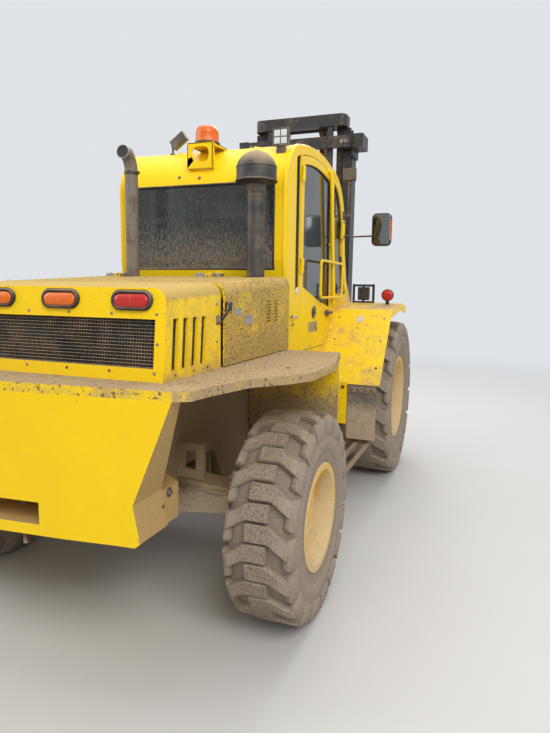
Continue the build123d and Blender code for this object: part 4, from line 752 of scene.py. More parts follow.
lid_bits.fasten(Shape.dome, 0.641, (-0.12, 0.1, 0.55), 1.215, OUT, 0.0065, 0.004)
lid_bits.fasten(Shape.dome, 0.641, 0.6, (1.3, 1.46), OUT, 0.0065, 0.004)
lid_bits.fasten(Shape.dome, 0.641, (0.27, 0.47), 1.33, OUT, 0.0065, 0.004)
for x, ahead in product((-0.176, 0.47), (0.575, 0.615)):
    lid_bits.dome(at(x, ahead, 1.612), UP, 0.006, 0.004)
lid_bits.piece("hood_screws", bolt_steel, body="hood_lid")
plates = Shape()
louvres = Shape()
for side in (-1, 1):
    for a0, a1, z0, z1 in ((0.02, 0.11, 1.36, 1.405), (-0.09, -0.03, 1.405, 1.44)):
        plates.slab(side, 0.6405, 0.642, a0, a1, z0, z1)
    for ahead, row in product((0.322, 0.422), range(7)):
        z = 1.414 + 0.017 * (row - 3)
        louvres.slab(side, 0.637, 0.645, ahead - 0.029, ahead + 0.029, z + 0.004, z + 0.0055)
plates.piece("hood_blank_plates", dull_steel, body="hood_lid", bevel=0.0005)
louvres.piece("hood_louvres", paint_hood, body="hood_lid", bevel=0.0006)


def both(side, *places):
    """Places at one side of the machine, as (distance from the middle, ahead, height)."""
    return [at(side * x, a, z) for x, a, z in places]


def circle_through(a, b, c):
    """Centre and radius of the circle through three (ahead, height) points."""
    d = 2 * (a[0] * (b[1] - c[1]) + b[0] * (c[1] - a[1]) + c[0] * (a[1] - b[1]))
    squares = [p[0] ** 2 + p[1] ** 2 for p in (a, b, c)]
    u = (squares[0] * (b[1] - c[1]) + squares[1] * (c[1] - a[1]) + squares[2] * (a[1] - b[1])) / d
    v = (squares[0] * (c[0] - b[0]) + squares[1] * (a[0] - c[0]) + squares[2] * (b[0] - a[0])) / d
    return (u, v), math.dist((u, v), a)


# Corner points of the cab's outline, as (ahead, height), each three of them on one circle
BACK_ARC = ((0.755, 2.08), (0.825, 2.31), (1.04, 2.412))
TOP_ARC = ((1.04, 2.412), (1.4, 2.449), (1.76, 2.404))
FRONT_ARC = ((1.76, 2.404), (2.04, 2.28), (2.142, 2.06))


def cab_back(z):
    """How far ahead the back of the cab is at a height."""
    if z < 1.7:
        return 0.79 - 0.035 * (z - 1.45) / 0.25
    if z < 2.08:
        return 0.755
    (a, c), r = circle_through(*BACK_ARC)
    return a - math.sqrt(r * r - (z - c) ** 2)


def roof_height(ahead):
    (a, c), r = circle_through(*(BACK_ARC if ahead < 1.04 else TOP_ARC if ahead < 1.76 else FRONT_ARC))
    return c + math.sqrt(max(0, r * r - (ahead - a) ** 2))


# Beacon: yellow bracket with a rounded hole, dark base, ribbed orange dome
BEACON_X, BEACON_AHEAD = -0.004, 0.86
BRACKET_TOP = 2.4065
bracket = Shape()
outer, inner = [], []
for turn in sorted(turns(32) + [s + t for s in (0, math.pi) for t in (0.714, -0.714)]):
    c, s = abs(math.cos(turn)) + 1e-9, abs(math.sin(turn)) + 1e-9
    reach = min(0.088 / c, 0.0765 / s)
    outer.append((-0.006 + reach * math.cos(turn), 2.33 + reach * math.sin(turn)))
    reach = ((c / 0.057) ** 3 + (s / 0.046) ** 3) ** (-1 / 3)
    inner.append((-0.008 + reach * math.cos(turn), 2.336 + reach * math.sin(turn)))
bracket.rings([[at(x0, 0.758, z0), at(x0, 0.766, z0), at(x1, 0.766, z1), at(x1, 0.758, z1)]
               for (x0, z0), (x1, z1) in zip(outer, inner)], closed=True)
bracket.box(-0.094, 0.082, 0.758, 0.96, 2.3985, BRACKET_TOP)
for x in (-0.094, 0.074):
    bracket.side([(0.758, 2.2535), (cab_back(2.2535) + 0.008, 2.2535), (cab_back(2.275) + 0.008, 2.275),
                  (0.772, 2.3985), (0.758, 2.3985)], x, x + 0.008)
    bracket.side([(0.93, roof_height(0.93) - 0.008), (0.96, roof_height(0.96) - 0.008),
                  (0.96, BRACKET_TOP), (0.93, BRACKET_TOP)], x, x + 0.008)
    bracket.side([(0.772, 2.388), (0.93, 2.392), (0.93, BRACKET_TOP), (0.772, BRACKET_TOP)], x, x + 0.008)
bracket_piece = bracket.piece("beacon_bracket", paint_cab, bevel=0.0015)
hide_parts("beacon")
base = Shape().lathe([(0, 0.072), (0.006, 0.072), (0.007, 0.078), (0.009, 0.08), (0.017, 0.08),
                      (0.02, 0.077), (0.02, 0.07)], at(BEACON_X, BEACON_AHEAD, BRACKET_TOP), UP, 56)
for turn in (0.0, 2.1, 4.2):
    base.dome(at(BEACON_X + 0.0745 * math.cos(turn), BEACON_AHEAD + 0.0745 * math.sin(turn), 2.426), UP,
              0.0035, 0.002)
base.piece("beacon_base", rubber)
rings = []
for z, r, flute in ((2.4255, 0.0705, 0), (2.4275, 0.0725, 0), (2.43, 0.0725, 0.6), (2.434, 0.0718, 1),
                    (2.468, 0.0712, 1), (2.472, 0.0712, 0.4), (2.476, 0.0716, 0), (2.496, 0.069, 0),
                    (2.51, 0.063, 0), (2.5185, 0.053, 0), (2.5225, 0.038, 0), (2.524, 0.015, 0)):
    ring = []
    for turn in turns(144):
        size = r - 0.0013 * flute * (0.5 + 0.5 * math.cos(36 * turn))
        ring.append(at(BEACON_X + size * math.cos(turn), BEACON_AHEAD + size * math.sin(turn), z))
    rings.append(ring)
Shape().rings(rings).piece("beacon_dome", amber_lens, sharp=50)

# Exhaust: bent pipe with a lip and soot at its tip, a clamp, bands and a foot
def on_stack(z):
    return at(0.38, 0.6, z)


stack_line = smooth_line([on_stack(z) for z in (1.1823, 1.45, 1.75, 2.05, 2.215)]
                         + [at(0.38, 0.594, 2.262), at(0.379, 0.572, 2.302), at(0.376, 0.54, 2.318),
                            at(0.373, 0.508, 2.322)], 6)
exhaust_pipe = Shape().tube(stack_line, 0.0395, 32).piece("exhaust_pipe", exhaust_steel, sharp=50)
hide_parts("exhaust")
tip_place = stack_line[-1]
tip = (tip_place - stack_line[-2]).normalized()
pipe = Shape()
pipe.lathe([(-0.004, 0.0392), (0.001, 0.0408), (0.003, 0.04), (0.003, 0.0362), (0.0005, 0.0355),
            (-0.004, 0.036)], tip_place, tip, 48, True)
pipe.piece("exhaust_lip", dull_steel, "exhaust_steel")
soot = Shape()
soot.lathe([(0.0002, 0.0002), (0.0002, 0.0365), (0.0022, 0.036), (0.001, 0.03), (0.0008, 0.0002)],
           tip_place, tip, 48)
soot.piece("exhaust_soot", rubber, "exhaust_steel")
clamp = Shape()
clamp.lathe([(0, 0.039), (0, 0.0415), (0.002, 0.0425), (0.022, 0.0425), (0.024, 0.0415), (0.024, 0.039)],
            on_stack(2.205), UP, 48)
clamp.tube(smooth_line([at(x, a, z) for x, a, z in
                        ((0.344, 0.594, 2.225), (0.348, 0.59, 2.29), (0.36, 0.58, 2.345),
                         (0.38, 0.57, 2.352), (0.4, 0.58, 2.345), (0.412, 0.59, 2.29),
                         (0.416, 0.594, 2.225))], 5), 0.009, 8, flat=0.0035)
for x in (0.327, 0.336):
    clamp.box(x, x + 0.006, 0.585, 0.612, 2.209, 2.225)
clamp.hex(at(0.327, 0.604, 2.217), (-1, 0, 0), 0.006, 0.006)
clamp.piece("exhaust_clamp", black_plastic, "black_paint", bevel=0.0006)
collar = Shape()
for z in (1.64, 1.905):
    collar.lathe([(0, 0.039), (0, 0.0402), (0.002, 0.041), (0.01, 0.041), (0.012, 0.0402), (0.012, 0.039)],
                 on_stack(z), UP, 48)
collar.lathe([(0, 0.06), (0.006, 0.06), (0.01, 0.05), (0.014, 0.0405), (0.014, 0.039)], on_stack(1.182),
             UP, 40)
collar.piece("exhaust_bands", exhaust_steel)

# Air cleaner: a pipe clamp, brown neck, flared rim with slots, knob on the bowl
cleaner = at(-0.448, 0.6, 0)
neck = Shape().lathe([(2.07, 0.0505), (2.07, 0.053), (2.074, 0.0545), (2.1, 0.055), (2.104, 0.056),
                      (2.1065, 0.056), (2.1065, 0.0505)], cleaner, UP, 48)
neck.piece("cleaner_neck", iron, "black_plastic")
rim_ring = Shape().lathe([(2.1235, 0.104), (2.1215, 0.1165), (2.1235, 0.1195), (2.129, 0.1185),
                          (2.131, 0.113), (2.131, 0.104)], cleaner, UP, 64, True)
rim_ring.lathe([(2.196, 0.1125), (2.197, 0.115), (2.203, 0.115), (2.2045, 0.1118)], cleaner, UP, 64)
for turn in turns(28):
    out = Vector((math.cos(turn), math.sin(turn), 0))
    across = Vector((-math.sin(turn), math.cos(turn), 0))
    rim_ring.rings([[cleaner + out * r + across * w + Vector((0, 0, z)) for r, z in
                     ((0.054, 2.1075), (0.1155, 2.1225), (0.1155, 2.1245), (0.054, 2.1105))]
                    for w in (-0.0012, 0.0012)])
rim_ring.lathe([(2.286, 0.0195), (2.291, 0.019), (2.2945, 0.014), (2.2955, 0.002)], cleaner, UP, 20)
rim_ring.piece("cleaner_rim", black_plastic)
bands = Shape()
bands.lathe([(2.04, 0.0505), (2.04, 0.0528), (2.052, 0.0528), (2.052, 0.0505)], cleaner, UP, 48)
bands.box(-0.512, -0.494, 0.586, 0.592, 2.04, 2.052)
bands.hex(at(-0.503, 0.586, 2.046), BACKWARD, 0.005, 0.005)
bands.piece("cleaner_clamps", iron)

# Roof lamps and pillar lamps
lights = Shape()
led = Shape()
ROOF_LAMP_TILT = math.radians(-35)


def lamp_head(cx, cz, front, direction, half_x, half_z, deep, lenses, angle=0, fins=7):
    """Square work lamp: housing, fins and a face of square lenses; front is its face, as a distance ahead."""
    def turned(x, a, z):
        """Place turned about the line that runs ahead through the lamp's middle."""
        u, w = x - cx, z - cz
        return at(cx + u * math.cos(angle) - w * math.sin(angle), a,
                  cz + u * math.sin(angle) + w * math.cos(angle))

    def block(middle_x, wide, high, near, far):
        """Box of the housing, between two depths behind the face."""
        a0, a1 = sorted((front + direction * near, front + direction * far))
        z0, z1 = cz - high, cz + high
        lights.rings([[turned(x, a, z) for a, z in ((a0, z0), (a1, z0), (a1, z1), (a0, z1))]
                      for x in (middle_x - wide, middle_x + wide)])

    shell = deep * (0.45 if fins else 0.85)
    block(cx, half_x, half_z, 0.002, shell)
    block(cx, half_x * 0.86, half_z * 0.86, shell, deep - 0.004)
    for k in range(fins):
        block(cx + half_x * 0.84 * (2 * k / (fins - 1) - 1), 0.0018, half_z * 0.92, shell, deep)
    columns, rows = lenses
    w, h = 2 * half_x * 0.84 / columns, 2 * half_z * 0.84 / rows
    for i, j in product(range(columns), range(rows)):
        x, z = cx - half_x * 0.84 + w * (i + 0.5), cz - half_z * 0.84 + h * (j + 0.5)
        led.rings([[turned(x + u * w * k, front + direction * a, z + v * h * k) for u, v in
                    ((-0.42, -0.42), (0.42, -0.42), (0.42, 0.42), (-0.42, 0.42))]
                   for k, a in ((1.0, 0.004), (1.0, 0.0004), (0.86, -0.0008), (0.5, -0.0012))])


lamp_head(0.246, 2.477, 0.967, -1, 0.056, 0.031, 0.044, (3, 2), ROOF_LAMP_TILT, fins=0)
lights.rod(at(0.296, 0.95, roof_height(0.95) - 0.012), at(0.296, 0.95, 2.452), 0.007, 14)
lights.lathe([(0, 0.018), (0.004, 0.018), (0.006, 0.012), (0.012, 0.011)],
             at(0.296, 0.95, roof_height(0.95) - 0.002), UP, 20)
lights.box(0.272, 0.304, 0.944, 0.956, 2.44, 2.462)
lamp_head(-0.501, 2.4185, 0.83, 1, 0.051, 0.0505, 0.044, (2, 2))
lights.box(-0.528, -0.474, 0.84, 0.858, 2.3, 2.372)
for side in (-1, 1):
    lamp_head(side * 0.615, 2.435, 2.128, -1, 0.052, 0.049, 0.05, (2, 2))
    lights.slab(side, 0.5773, 0.64, 2.08, 2.12, 2.11, 2.122)
    lights.slab(side, 0.5773, 0.583, 2.074, 2.126, 2.08, 2.15)
    lights.rod(at(side * 0.615, 2.1, 2.118), at(side * 0.615, 2.1, 2.392), 0.007, 14)
    lights.rod(at(side * 0.615, 2.1, 2.119), at(side * 0.615, 2.1, 2.127), 0.012, 14, 0.001)
lights.fasten(Shape.hex, 0.583, 2.1, (2.092, 2.138), OUT, 0.006, 0.005)
lights_piece = lights.piece("work_light_bodies", lamp_black, bevel=0.0012)
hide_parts("work_lights")
led.piece("work_light_lenses", clear_lens, bevel=0.0006)

# Lamps on the front fenders: lens in front of each head lamp, red lens on each round lamp
HEAD_LAMP_X, ROUND_LAMP_X, LAMP_Z = 0.72, 0.938, 1.495
HEAD_LAMP_Z = 1.503
heads = Shape()
rounds = Shape()
rims = Shape()
guards = Shape()
for side in (-1, 1):
    heads.rings([[at(side * HEAD_LAMP_X + u * 0.038 * k, a, HEAD_LAMP_Z + v * 0.045 * k) for u, v in OCTAGON]
                 for a, k in ((2.336, 1), (2.3405, 1), (2.344, 0.9), (2.345, 0.5))])
    heads.lathe([(0, 0.043), (0.003, 0.043), (0.007, 0.036), (0.009, 0.01)],
                at(side * ROUND_LAMP_X, 2.2155, LAMP_Z), FORWARD, 40)
    place = at(side * ROUND_LAMP_X, 2.1905, LAMP_Z)
    rounds.lathe([(0, 0.043), (0.004, 0.043), (0.009, 0.039), (0.0125, 0.026), (0.014, 0.006)], place,
                 BACKWARD, 40)
    rims.lathe([(-0.004, 0.0484), (0.004, 0.0484), (0.0065, 0.047), (0.0065, 0.0435), (-0.004, 0.0435)],
               place, BACKWARD, 40, True)
    for k in range(5):
        z = 1.47 + 0.0165 * k
        rims.slab(side, 0.682, 0.758, 2.2795, 2.2835, z, z + 0.005)
guards.fasten(Shape.hex, (0.637, 0.803), 2.291, 1.44, BACKWARD, 0.006, 0.006)
guards.fasten(Shape.hex, (0.637, 0.803), 2.3, 1.58, UP, 0.006, 0.005)
heads.piece("head_lenses", clear_lens, sharp=50)
rounds.piece("round_lenses", red_lens, sharp=50)
rims.piece("fender_lamp_trim", lamp_black)
guards.piece("fender_lamp_bolts", bolt_steel)

# Mirrors: glass with an orange strip, yellow plates at the pillars
MIRROR_X, MIRROR_Z = 0.852, 2.023


def rounded(side, half_x, half_z, corner, a):
    """Outline of a mirror with round corners."""
    points = []
    for turn in turns(32, 0.5):
        c, s = math.cos(turn), math.sin(turn)
        points.append(at(side * MIRROR_X + math.copysign(half_x - corner, c) + corner * c, a,
                         MIRROR_Z + math.copysign(half_z - corner, s) + corner * s))
    return points


mirror_glass = Shape()
strip = Shape()
pillar_plates = Shape()
pillar_bolts = Shape()
for side in (-1, 1):
    mirror_glass.rings([rounded(side, *sizes) for sizes in (
        (0.07, 0.122, 0.031, 2.279), (0.07, 0.122, 0.031, 2.2772), (0.0685, 0.1205, 0.03, 2.2765))])
    strip.tube([at(side * 0.924, 2.2795, MIRROR_Z + z) for z in (-0.085, -0.04, 0, 0.04, 0.085)], 0.0045, 8,
               flat=0.0045)
    pillar_plates.slab(side, 0.5765, 0.5938, 2.0385, 2.1015, 1.9335, 2.0765)
pillar_bolts.fasten(Shape.hex, 0.5938, (2.052, 2.088), (1.95, 2.06), OUT, 0.0065, 0.006)
mirror_glass.piece("mirror_glass", mirror_face, sharp=30)
strip.piece("mirror_strips", orange_edge)
pillar_plates.piece("mirror_bracket_plates", paint_cab, bevel=0.002)
pillar_bolts.piece("mirror_bracket_bolts", bolt_steel)


# Rubber seals round the panes
def pane_loop(node, choose, x_face):
    """Outline of a side pane, in order round its middle."""
    points = {(round(v.co.y, 4), round(v.co.z, 4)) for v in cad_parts[node].data.vertices if choose(v.co)}
    y0 = sum(p[0] for p in points) / len(points)
    z0 = sum(p[1] for p in points) / len(points)
    ordered = sorted(points, key=lambda p: math.atan2(p[1] - z0, p[0] - y0))
    return [Vector((x_face, y, z)) for y, z in ordered]


# Distances ahead between which each quarter pane lies
QUARTER_PANES = ((0.9, 1.05), (1.75, 2.4))
for name, side in SIDES:
    seal = Shape()
    seal.tube(pane_loop(f"door_glass_{name}", lambda p: True, side * 0.5635), 0.0062, 8, closed=True)
    seal.piece(f"door_seal_{name}", rubber, body=f"{name}_door", sharp=60)
    seal = Shape()
    for low, high in QUARTER_PANES:
        seal.tube(pane_loop("cab_glass", lambda p: p.x * side > 0.545 and low < REAR_AXLE_Y - p.y < high,
                            side * 0.5615), 0.0062, 8, closed=True)
    seal.piece(f"quarter_seals_{name}", rubber, sharp=60)
BOTTOM, TOP = 1.645, 2.155
levels = [BOTTOM + (TOP - BOTTOM) * k / 8 for k in range(9)]
seal = Shape()
seal.tube([at(-0.497, cab_back(z) + 0.006, z) for z in levels]
          + [at(0.497, cab_back(z) + 0.006, z) for z in reversed(levels)], 0.0075, 8, closed=True)
seal.piece("rear_window_seal", rubber, sharp=60)

# Doors: bar in front of the pane, latch, lock, hinge plates, blank plate, rubber pad
for name, side in SIDES:
    out = (side, 0, 0)
    face = side * 0.577
    bar = Shape()
    bar.tube(smooth_line(both(side, (0.566, 1.628, 2.375), (0.59, 1.632, 2.362), (0.598, 1.64, 2.32),
                              (0.598, 1.715, 1.86), (0.598, 1.78, 1.465), (0.59, 1.788, 1.422),
                              (0.566, 1.79, 1.408)), 6), 0.0145, 10)
    bar.rod(at(side * 0.57, 1.715, 1.86), at(side * 0.596, 1.715, 1.86), 0.008, 10)
    bar.piece(f"door_bar_{name}", paint_cab, body=f"{name}_door", sharp=60)
    lock = Shape()
    lock.lathe([(-0.001, 0.047), (0.003, 0.047), (0.006, 0.044), (0.006, 0.038), (0.0015, 0.034),
                (0.001, 0.012)], at(face, 1.338, 1.376), out, 36)
    lock.rod(at(face, 1.35, 1.376), at(face + side * 0.012, 1.35, 1.376), 0.011, 20, 0.001)
    lock.tube(both(side, (0.581, 1.318, 1.398), (0.587, 1.318, 1.376), (0.581, 1.318, 1.354)), 0.006, 8)
    lock.slab(side, 0.577, 0.612, 1.615, 1.725, 1.35, 1.372)
    lock.slab(side, 0.577, 0.59, 1.64, 1.7, 1.34, 1.382)
    lock.piece(f"door_latch_{name}", lamp_black, body=f"{name}_door", bevel=0.0015)
    plate = Shape()
    plate.slab(side, 0.5768, 0.5782, 1.225, 1.435, 1.24, 1.31)
    for z in (1.678, 2.24):
        plate.slab(side, 0.585, 0.5864, 1.03, 1.078, z + 0.002, z + 0.043)
        for a in (1.044, 1.066):
            plate.hex(at(side * 0.5864, a, z + 0.0225), out, 0.0055, 0.005)
    plate.piece(f"door_plates_{name}", dull_steel, body=f"{name}_door", bevel=0.0004)
    plug = Shape()
    plug.lathe([(-0.001, 0.024), (0.003, 0.024), (0.006, 0.021), (0.0075, 0.012)], at(face, 0.959, 1.519), out,
               28)
    plug.piece(f"cab_plug_{name}", pale_plastic, "black_plastic")
    mount = Shape()
    mount.slab(side, 0.5765, 0.583, 0.838, 0.905, 1.285, 1.352)
    mount.slab(side, 0.5765, 0.6, 0.838, 0.905, 1.346, 1.352)
    mount.piece(f"cab_mount_{name}", paint_cab, bevel=0.001)
    nut = Shape()
    nut.lathe([(0, 0.026), (0.004, 0.026), (0.005, 0.022), (0.012, 0.02), (0.018, 0.013), (0.02, 0.003)],
              at(side * 0.59, 0.875, 1.352), UP, 24)
    for a in (0.855, 0.888):
        nut.hex(at(side * 0.583, a, 1.312), out, 0.0065, 0.006)
    nut.piece(f"cab_mount_nut_{name}", bolt_steel)

# Steering wheel: padded rim, three spokes, hub with its cap, knob
RIM_RADIUS = 0.1745
hub_place = at(0, 1.83, 1.74)
axis = (hub_place - at(0, 2.12, 1.07)).normalized()
one = Vector((1, 0, 0))
two = axis.cross(one)


def on_wheel(turn, radius, height):
    """Place by the angle round the hub, the distance from the axis and the height over the hub."""
    return hub_place + (one * math.cos(turn) + two * math.sin(turn)) * radius + axis * height


wheel = Shape()
wheel.tube([on_wheel(t, RIM_RADIUS, 0.039) for t in turns(64)], 0.0122, 12, closed=True)
for turn in turns(3, 0.75):
    wheel.tube([on_wheel(turn, r, h) for r, h in
                ((0.02, 0.022), (0.06, 0.026), (0.11, 0.033), (0.168, 0.038))], 0.012, 10, flat=0.0045)
wheel.lathe([(0.0005, 0.03), (0.004, 0.034), (0.022, 0.036), (0.034, 0.034), (0.042, 0.028), (0.046, 0.014),
             (0.047, 0.003)], hub_place, axis, 32)
wheel.lathe([(0, 0.01), (0.006, 0.009), (0.016, 0.019), (0.03, 0.021), (0.042, 0.015), (0.045, 0.004)],
            on_wheel(2.4, RIM_RADIUS, 0.052), axis, 20)
wheel_piece = wheel.piece("steering_wheel_dressed", black_plastic, body="steering", sharp=50)
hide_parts("steering_wheel")

# Console: lever knobs and gaiters, switches, pads, dials
knobs = Shape()
for k in range(4):
    x = -0.3 - 0.04 * k
    knobs.lathe([(0, 0.009), (0.006, 0.014), (0.018, 0.0175), (0.03, 0.016), (0.038, 0.009), (0.041, 0.002)],
                at(x, 1.75, 1.553), UP, 18)
    knobs.lathe([(0, 0.018), (0.004, 0.0185), (0.009, 0.0145), (0.013, 0.017), (0.018, 0.0125),
                 (0.022, 0.0145), (0.028, 0.0085)], at(x, 1.75, 1.379), UP, 18)
for k in range(6):
    knobs.box(-0.24 + 0.04 * k, -0.22 + 0.04 * k, 2.2375, 2.2415, 1.355, 1.383)
knobs.box(-0.295, 0.295, 2.232, 2.336, 1.415, 1.426)
knobs.box(0.264, 0.416, 1.17, 1.56, 1.396, 1.424)
knobs.piece("console_knobs", rubber, bevel=0.0015, sharp=50)
dials = Shape()
ticks = Shape()
for x, z in ((-0.09, 1.33), (0.0, 1.335), (0.09, 1.33)):
    place = at(x, 2.2405, z)
    dials.lathe([(0, 0.036), (0.005, 0.036), (0.007, 0.033), (0.003, 0.031), (0.0028, 0.004)], place, BACKWARD,
                32)
    for k in range(9):
        turn = math.radians(220 - 32.5 * k)
        tick = [place + Vector((math.cos(turn) * r, 0.0034, math.sin(turn) * r)) for r in (0.021, 0.028)]
        ticks.rod(*tick, 0.0009, 6)
    ticks.rod(place + Vector((0, 0.004, 0)), place + Vector((0.014, 0.004, 0.016)), 0.0011, 6)
dials.piece("dials", lamp_black, sharp=40)
ticks.piece("dial_ticks", pale_plastic, "lamp_plastic")


# Lift chains: leaf chain with its plates and pins
CHAIN_X = 0.19
CHAIN_TOP = 2.995
CHAIN_PITCH = 0.0191
LEAF, LAYERS = 0.0068, 5


def leaf_chain(shape, pins, outs, thick=0.0135):
    """Pins with leaves between them; outs are the directions away from the chain's line."""
    half_pin = Vector((0.0205, 0, 0))
    for i, pin in enumerate(pins):
        shape.rod(pin - half_pin, pin + half_pin, 0.0034, 8)
        if i == len(pins) - 1:
            break
        step = pins[i + 1] - pin
        run, span, h = step.normalized(), step.length, thick / 2
        outline = [(-h * 0.75, -h * 0.957), (span * 0.5, -h * 1.073), (span + h * 0.75, -h * 0.957),
                   (span + h, 0), (span + h * 0.75, h * 0.957), (span * 0.5, h * 1.073), (-h * 0.75, h * 0.957),
                   (-h, 0)]
        for layer in range(i % 2, LAYERS, 2):
            x0 = (layer - LAYERS / 2) * (LEAF + 0.0012) + 0.0006
            shape.rings([[pin + run * u + outs[i] * v + Vector((x, 0, 0)) for u, v in outline]
                         for x in (x0, x0 + LEAF)])


def strand(name, body, ahead, low, high=CHAIN_TOP):
    """Straight chains on both sides, between two heights."""
    count = round((high - low) / CHAIN_PITCH)
    shape = Shape()
    for side in (-1, 1):
        pins = [at(side * CHAIN_X, ahead, low + (high - low) * k / count) for k in range(count + 1)]
        leaf_chain(shape, pins, [Vector((0, 1, 0))] * len(pins))
    return shape.piece(name, chain_steel, body=body, sharp=30)


front_strand = strand("chain_front_strand", "lift_mast", 2.882, 0.792)
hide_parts("chains_front")
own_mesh(front_strand)
rear_moving = strand("chain_rear_strand", "lift_mast", 2.758, 0.985)
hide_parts("chains_rear")
strand("chain_rear_fixed", "mast", 2.7575, 1.182, 2.985)
wraps = Shape()
for side in (-1, 1):
    arc = [math.pi * k / 10 for k in range(11)]
    pins = [at(side * CHAIN_X, 2.82, CHAIN_TOP) + Vector((0, math.cos(t), math.sin(t))) * 0.062 for t in arc]
    leaf_chain(wraps, pins, [Vector((0, math.cos(t + 0.157), math.sin(t + 0.157))) for t in arc], 0.0125)
wraps.piece("chain_wraps", chain_steel, body="lift_mast", sharp=30)
ends = Shape()
for side, k in product((-1, 1), (-1, 1)):
    x = side * CHAIN_X + k * 0.012
    ends.rod(at(x, 2.738, 1.095), at(x, 2.738, 1.192), 0.006, 12)
    ends.hex(at(x, 2.738, 1.15), DOWN, 0.0095, 0.012)
ends.piece("chain_anchors", bolt_steel, body="mast")
ends = Shape()
ends.fasten(Shape.hex, CHAIN_X, 2.904, (0.76, 0.715), FORWARD, 0.01, 0.01)
ends.piece("carriage_chain_bolts", bolt_steel, body="fork_carriage")


# Cab: rounded frame along the D of each side, hood hinge plates, screws, roof seams
def cab_line(inset):
    """Outline of the cab's side as (ahead, height), moved in towards its middle."""
    points = [(0.795, 1.085), (0.79, 1.45), (0.772, 1.58), (0.755, 1.7)]
    points += [(cab_back(z), z) for z in (1.8 + 0.07 * k for k in range(8))]
    points += [(a, roof_height(a))
               for a in (0.86, 0.93, 1.04, 1.15, 1.3, 1.45, 1.6, 1.76, 1.85, 1.95, 2.04, 2.1)]
    points += [(2.142, 2.06), (2.166, 1.94), (2.19, 1.82), (2.226, 1.715), (2.262, 1.61), (2.34, 1.53),
               (2.405, 1.465)]
    middle = Vector((1.45, 1.8))
    return [Vector(p) + (middle - Vector(p)).normalized() * inset for p in points]


for name, side in SIDES:
    frame_bar = Shape()
    frame_bar.tube(smooth_line([at(side * 0.5605, a, z) for a, z in cab_line(0.013)], 3), 0.0195, 10,
                   flat=0.018)
    frame_bar.piece(f"cab_frame_{name}", paint_cab, sharp=60)

hinge_bits = Shape()
for x0, x1 in ((-0.23, -0.06), (0.432, 0.576)):
    hinge_bits.box(x0, x1, 0.59, 0.636, 1.5915, 1.613)
    for x in (x0 + 0.02, x1 - 0.02):
        hinge_bits.hex(at(x, 0.613, 1.613), UP, 0.0075, 0.006)
hinge_bits.piece("hood_hinge_plates", dull_steel, body="hood_lid", bevel=0.0015)
screws = Shape()
for x, z in ((0.142, 2.207), (0.0, 2.197)):
    screws.lathe([(-0.002, 0.01), (0.002, 0.01), (0.006, 0.0085), (0.009, 0.005)],
                 at(x, cab_back(z) + 0.001, z), (0, 0.93, 0.36), 14)
for ahead in (1.1, 1.45, 1.8):
    screws.fasten(Shape.hex, 0.45, ahead, roof_height(ahead) - 0.001, UP, 0.008, 0.006)
screws.piece("cab_screws", exhaust_steel, "bare_steel")
seams = Shape()
for side in (-1, 1):
    seams.tube([at(side * 0.27, a, roof_height(a)) for a in
                (0.99, 1.08, 1.2, 1.35, 1.5, 1.65, 1.75, 1.82, 1.88)], 0.011, 8, flat=0.004)
seams.piece("roof_seams", paint_cab, sharp=60)

# Deck, fenders, flaps, tanks, counterweight: bolts, strips, small plates
FENDER_NORMAL = (0, 0.775, 0.632)


def on_fender(x, ahead, out=0.0):
    """Place on the slanted rear face of a fender, a distance out from it."""
    z = 0.87 + (ahead - 1.46) * 0.515 / 0.42
    return at(x, ahead, z) + Vector(FENDER_NORMAL) * out


bolts = Shape()
for ahead, z in ((-0.66, 0.7), (-0.6, 0.74)):
    bolts.fasten(Shape.hex, 0.5938, ahead, z, OUT, 0.013, 0.012)
bolts.fasten(Shape.hex, 0.4198, -0.52, (0.86, 0.955, 1.05), OUT, 0.014, 0.013)
bolts.fasten(Shape.dome, (0.7, 0.8, 0.9), -0.1, 1.182, UP, 0.009, 0.005)
bolts.fasten(Shape.dome, (0.68, 0.8, 0.92), 0.42, 1.182, UP, 0.009, 0.005)
for side, x, ahead in product((-1, 1), (0.985, 0.64), (1.55, 1.7, 1.83)):
    bolts.dome(on_fender(side * x, ahead), FENDER_NORMAL, 0.009, 0.006)
bolts.fasten(Shape.hex, (0.835, 0.885, 0.935, 0.985), 1.4575, 0.835, BACKWARD, 0.009, 0.007)
bolts.fasten(Shape.hex, (0.63, 0.7, 0.77), 1.462, 0.845, BACKWARD, 0.009, 0.007)
bolts.fasten(Shape.hex, 0.855, (0.7, 0.94), (0.66, 0.98), OUT, 0.01, 0.009)
bolts.piece("chassis_bolts", bolt_steel)
strips = Shape()
tags = Shape()
straps = Shape()
for side in (-1, 1):
    strips.slab(side, 0.808, 1.008, 1.4575, 1.4622, 0.815, 0.855)
    tags.rings([[on_fender(side * x, ahead, out) for ahead, out in
                 ((1.806, -0.0005), (1.838, -0.0005), (1.838, 0.0018), (1.806, 0.0018))]
                for x in (0.776, 0.83)])
    straps.lathe([(0, 0.045), (0.01, 0.045), (0.012, 0.052), (0.034, 0.052), (0.04, 0.047), (0.041, 0.01)],
                 at(side * 0.8, 0.7, 0.9495), UP, 28)
    for a in (0.7, 0.94):
        straps.slab(side, 0.44, 0.858, a - 0.018, a + 0.018, 0.598, 0.603)
        straps.slab(side, 0.8548, 0.859, a - 0.018, a + 0.018, 0.6, 1.036)
strips.piece("flap_strips", shaded_chassis_paint, bevel=0.001)
tags.piece("fender_blank_plates", pale_plastic, "bare_steel")
straps.piece("tank_straps", caked, bevel=0.0012)

